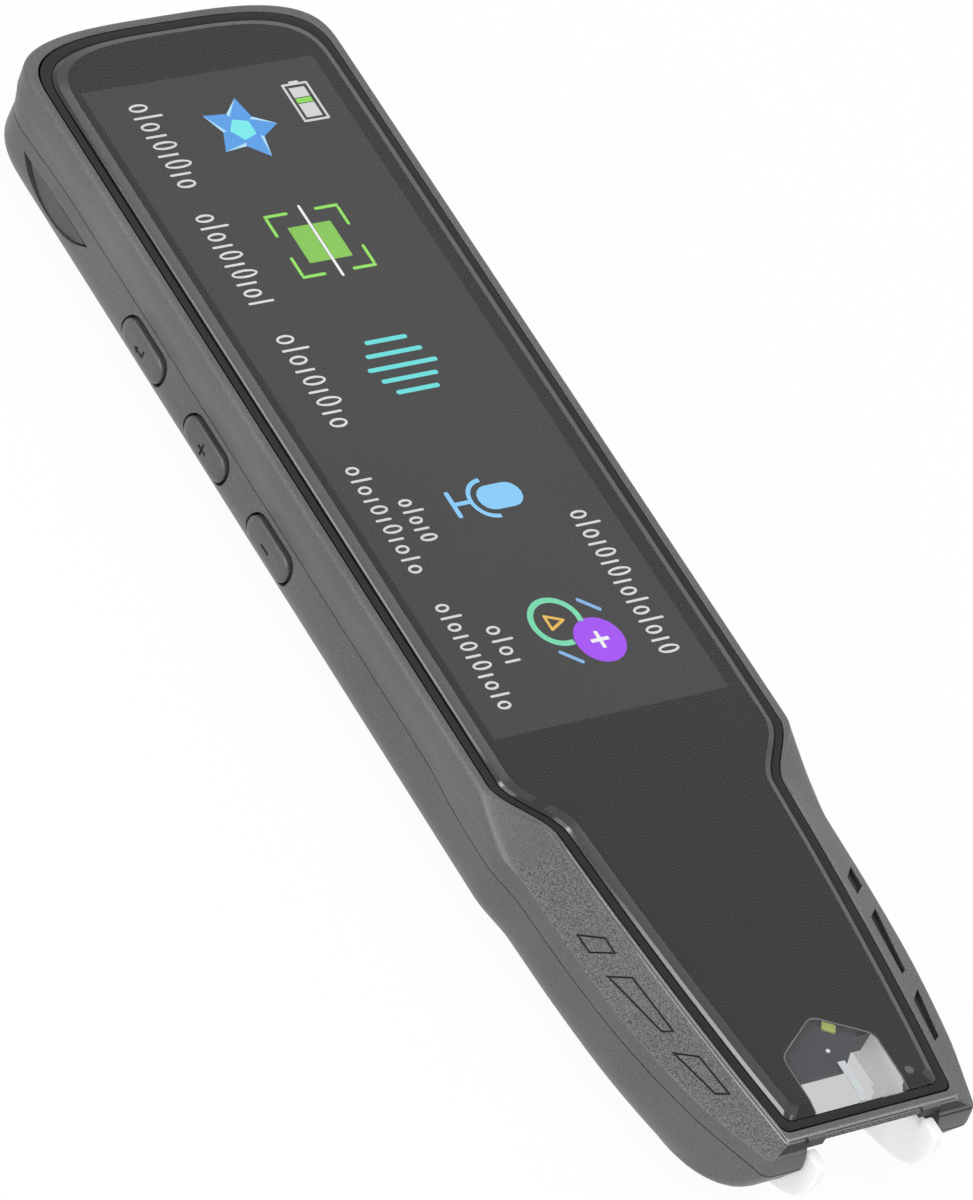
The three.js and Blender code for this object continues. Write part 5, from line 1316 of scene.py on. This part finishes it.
# %% Signs on the screen
SIGN_DEPTH = pen_box("lcd_panel")[2][0]
SIGN_THICKNESS = 0.02
SEEN_SHIFT = (0.475, -0.384)
STATION_ZERO = 7.8
SIGN_COLOURS = {
    "sky blue": ("4a97e4", "58a6f0"), "pale blue": ("a8dcfa", "c2ecff"), "cyan": ("70e8ea", "86f6f0"),
    "green": ("74ba3c", "84c84c"), "bright green": ("86d84c", "92e25c"), "aqua": ("54cfd2", "64dede"),
    "microphone blue": ("62b4f2", "9cdcff"), "mint": ("6ad2a4", "78deb2"), "purple": ("9636ea", "a446f4"),
    "amber": ("e0b044", "f0c050"), "white": ("e4e4e4", "f4f4f4"), "label grey": ("cfcfcf", "dcdcdc"),
    "line blue": ("74a8dc", "88b8e8"),
}
inks = {name: lit(f"sign {name}", *tones) for name, tones in SIGN_COLOURS.items()}


def sign(name, outlines, ink, layer=1):
    """Thin sheets from outlines of (x, station) points, as seen on the glass."""
    shape = bmesh.new()
    for points in outlines:
        top = []
        for x, station in points:
            spot = (x + SEEN_SHIFT[0], station + SEEN_SHIFT[1] + STATION_ZERO)
            top.append(shape.verts.new(place(*spot, SIGN_DEPTH - layer * SIGN_THICKNESS)))
        rim = bmesh.ops.extrude_face_region(shape, geom=[shape.faces.new(top)])
        lowered = [item for item in rim["geom"] if isinstance(item, bmesh.types.BMVert)]
        bmesh.ops.translate(shape, verts=lowered, vec=(0, 0, -SIGN_THICKNESS * MM))
    piece = object_from(f"sign_{name}", shape)
    clothe(piece, inks[ink])
    fasten(piece, "casing")


def band(middle, width, tall, wide, start=0, stop=360, steps=48):
    """A round or oval ring of a line's width, or part of one, as four-sided pieces."""
    pieces = []
    for i in range(steps):
        corners = []
        for cut, turn in ((width, i), (0, i), (0, i + 1), (width, i + 1)):
            angle = math.radians(between(start, stop, turn / steps))
            x = middle[0] + (tall / 2 - cut) * math.cos(angle)
            corners.append((x, middle[1] + (wide / 2 - cut) * math.sin(angle)))
        pieces.append(corners)
    return pieces


def stroke(start, end, width, steps=8):
    """A line with round ends between two places."""
    a, b = Vector(start), Vector(end)
    direction = (b - a).normalized()
    turned = Vector((-direction.y, direction.x))
    points = []
    for centre, way in ((b, 1), (a, -1)):
        for i in range(steps + 1):
            angle = math.pi / 2 - math.pi * i / steps
            step = turned * math.sin(angle) + direction * math.cos(angle)
            points.append(tuple(centre + step * (way * width / 2)))
    return points


def closed_line(corners, width):
    return [stroke(a, b, width) for a, b in zip(corners, (*corners[1:], corners[0]))]


print("Colours for the signs:", ", ".join(inks))

# %% [markdown]
# The star is cut like a gem: five arms round a bright five-sided middle, each arm with a pale facet along
# one edge. The scan sign is a filled square in four corner brackets, crossed by a white line.

# %% Star and scan sign
STAR_MIDDLE, STAR_ARMS = (0.6, 7.52), 5
STAR_REACH, STAR_WAIST, STAR_RIDGE, STAR_CORE = 4.0, 2.2, 1.78, 1.42
SCAN_X, SCAN_STATIONS = (-3.0, 5.2), (18.3, 26.0)
SCAN_BRACKET, SCAN_STROKE = 2.4, 0.34
SCAN_LINE = ((1.2, 17.7), (1.2, 26.5), 0.3)
SCAN_HALVES = (((-1.4, 1.0), (20.0, 24.5)), ((1.4, 3.5), (20.0, 24.5)))


def spoke(turns, reach):
    angle = 2 * math.pi * turns
    return (STAR_MIDDLE[0] + reach * math.cos(angle), STAR_MIDDLE[1] + reach * math.sin(angle))


arms, facets, core = [], [], []
half_arm = 0.5 / STAR_ARMS
for i in range(STAR_ARMS):
    tip = spoke(i / STAR_ARMS, STAR_REACH)
    before, after = i / STAR_ARMS - half_arm, i / STAR_ARMS + half_arm
    ridge = spoke(before, STAR_RIDGE)
    arms.append([tip, ridge, spoke(before, STAR_CORE), spoke(after, STAR_CORE), spoke(after, STAR_WAIST)])
    facets.append([tip, spoke(before, STAR_WAIST), ridge])
    core.append(spoke(after, STAR_CORE))
sign("star_arms", arms, "sky blue")
sign("star_facets", facets, "pale blue")
sign("star_core", [core], "cyan")

brackets = []
for x, inwards in zip(SCAN_X, (SCAN_BRACKET, -SCAN_BRACKET)):
    for station, way in zip(SCAN_STATIONS, (1, -1)):
        upright = (x, station + way * SCAN_STROKE), (x, station + way * SCAN_BRACKET)
        brackets += [stroke((x, station), (x + inwards, station), SCAN_STROKE), stroke(*upright, SCAN_STROKE)]
sign("scan_brackets", brackets, "bright green")
sign("scan_square", [rectangle(*half) for half in SCAN_HALVES], "green")
sign("scan_line", [stroke(*SCAN_LINE)], "white")
print("Star arms:", len(arms), "and scan strokes:", len(brackets))

# %% [markdown]
# The third sign is a voice drawn as five round-ended bars. The fourth is a microphone: a capsule in a yoke
# on a short stand. The last one is a ring and a disc with two short lines, for two languages. The letters
# inside the ring and the disc are left out, and a small triangle and a small cross take their place.

# %% Voice, microphone and language signs
VOICE_BARS = {34.8: (-0.9, 3.4), 36.4: (-1.7, 4.2), 38.0: (-2.4, 5.0), 39.5: (-1.7, 4.2), 41.0: (-0.9, 3.5)}
VOICE_WIDTH = 0.5
MIC = 54.65
CAPSULE, STEM = ((1.5, MIC), (3.5, MIC), 2.9), ((-2.4, MIC), (-0.9, MIC), 0.45)
MIC_FOOT = ((-2.77, MIC - 1.35), (-2.77, MIC + 1.35), 0.5)
YOKE = {"middle": (1.4, MIC), "width": 0.45, "tall": 4.8, "wide": 4.8, "start": 90, "stop": 270, "steps": 28}
RING = {"middle": (-0.05, 69.55), "width": 0.6, "tall": 5.7, "wide": 5.7, "steps": 64}
DISC_MIDDLE, DISC_RADIUS, RING_OVERLAP = (3.15, 72.45), 2.62, 0.1
HALF_CROSS = ((-1.0, -0.2), (-0.2, -0.2), (-0.2, -1.0), (0.2, -1.0), (0.2, -0.2), (1.0, -0.2))
TRIANGLE, TRIANGLE_STROKE = ((0.75, 69.5), (-0.95, 68.7), (-0.95, 70.3)), 0.3
LANGUAGE_LINES = (((3.5, 67.7), (5.1, 69.2), 0.4), ((-1.6, 72.9), (0.0, 74.4), 0.4))

voice = [stroke((x[0], station), (x[1], station), VOICE_WIDTH) for station, x in VOICE_BARS.items()]
sign("voice", voice, "aqua")
sign("mic_capsule", [stroke(*CAPSULE)], "microphone blue")
sign("mic_stand", [*band(**YOKE), stroke(*STEM), stroke(*MIC_FOOT)], "microphone blue")
reach = DISC_RADIUS - RING_OVERLAP
ring = [piece for piece in band(**RING) if math.dist(piece[1], DISC_MIDDLE) > reach]
sign("language_ring", ring, "mint")
cross = [*HALF_CROSS, *((-x, -y) for x, y in HALF_CROSS)]
sign("language_disc", [disc(DISC_MIDDLE, DISC_RADIUS)], "purple")
sign("language_cross", [[(DISC_MIDDLE[0] + x, DISC_MIDDLE[1] + y) for x, y in cross]], "white", layer=2)
sign("language_triangle", closed_line(TRIANGLE, TRIANGLE_STROKE), "amber")
sign("language_lines", [stroke(*line) for line in LANGUAGE_LINES], "line blue")
print("Voice bars:", len(voice), "and language lines:", len(LANGUAGE_LINES))

# %% [markdown]
# The battery sign is a rounded frame with a filled middle. Where the real screen has words, rows of small
# rounded marks give the same weight of pale strokes without saying anything.

# %% Battery sign and blank labels
BATTERY_X, BATTERY_STATIONS, BATTERY_STROKE = (7.65, 10.4), (3.2, 7.85), 0.26
CELL_X, CELL_STATIONS, BAND_STATIONS = (8.1, 9.9), ((3.65, 4.9), (5.7, 7.45)), (5.0, 5.6)
BATTERY_CAP = ((8.6, 2.95), (9.5, 2.95), 0.25)
LABELS = [
    {"x": (-9.8, -6.8), "stations": (2.4, 13.4), "marks": 9},
    {"x": (-10.2, -7.3), "stations": (16.6, 28.5), "marks": 10},
    {"x": (-9.9, -7.1), "stations": (32.0, 43.7), "marks": 9},
    {"x": (-8.2, -6.1), "stations": (52.8, 58.1), "marks": 5},
    {"x": (-11.4, -9.3), "stations": (48.1, 61.3), "marks": 11},
    {"x": (-7.6, -5.5), "stations": (68.4, 73.3), "marks": 4},
    {"x": (-11.2, -9.1), "stations": (64.9, 77.7), "marks": 11},
    {"x": (8.3, 10.9), "stations": (57.9, 75.6), "marks": 15},
]
LABEL_HEIGHTS, LABEL_WIDTH, LABEL_STROKE, LABEL_STEPS = (0.7, 1.0, 0.7, 0.7, 0.9), 0.84, 0.26, 24

battery = closed_line(rectangle(BATTERY_X, BATTERY_STATIONS), BATTERY_STROKE)
battery += [rectangle(CELL_X, stations) for stations in CELL_STATIONS]
sign("battery", [*battery, stroke(*BATTERY_CAP)], "label grey")
sign("battery_band", [rectangle(CELL_X, BAND_STATIONS)], "bright green")
label_marks = []
for label in LABELS:
    (base, top), (start, stop) = label["x"], label["stations"]
    pitch = (stop - start) / label["marks"]
    for i in range(label["marks"]):
        station = start + (i + 0.5) * pitch
        reach = (top - base) * LABEL_HEIGHTS[i % len(LABEL_HEIGHTS)]
        if i % 2:
            label_marks.append(stroke((base, station), (base + reach, station), LABEL_STROKE))
        else:
            middle = base + reach / 2, station
            label_marks += band(middle, LABEL_STROKE, reach, pitch * LABEL_WIDTH, steps=LABEL_STEPS)
sign("blank_labels", label_marks, "label grey")

# %% [markdown]
# The hidden pieces keep their ready shapes. Each one only gets the finish of its kind, and the ones with
# curved walls are shaded smoothly. Flat shading would show their facets where the light grazes them.

# %% Finishes of the other pieces
READY_PIECES = (
    (line_white, "guide_line"),
    (film_clear, "touch_film"),
    (screen_dark, "lcd_panel"),
    (light_grey, "backlight aerial"),
    (board_green, "main_board battery_board key_board camera_board"),
    (can_steel, "cpu_shield charging_socket microphone"),
    (foam, "screen_pad battery_tape speaker_gasket"),
    (film_amber, "screen_ribbon camera_ribbon"),
    (dark_plastic, "light_sensor ribbon_socket battery_lead speaker foot_switch"),
    (cell_silver, "battery"),
    (foot_white_painted_glow, "foot_plunger"),
    (spring_steel, "foot_spring_left foot_spring_right"),
    (mask_dark, "camera_housing window_mask"),
    (barrel_black, "lens_barrel"),
    (lens_clear, "lens"),
    (lamp_yellow, "scan_lamp"),
    (lit_white, "marker_lamp"),
    (screw_steel, "board_screw_1 board_screw_2 board_screw_3 board_screw_4"),
    (can_steel, "return_key_switch plus_key_switch minus_key_switch power_key_switch"),
    (dark_plastic, "return_key_plunger plus_key_plunger minus_key_plunger power_key_plunger"),
)
for material, names in READY_PIECES:
    for name in names.split():
        clothe(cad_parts[name], material)
        shade(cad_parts[name], READY_ANGLE)
print("Kinds of ready pieces with a finish:", len(READY_PIECES))
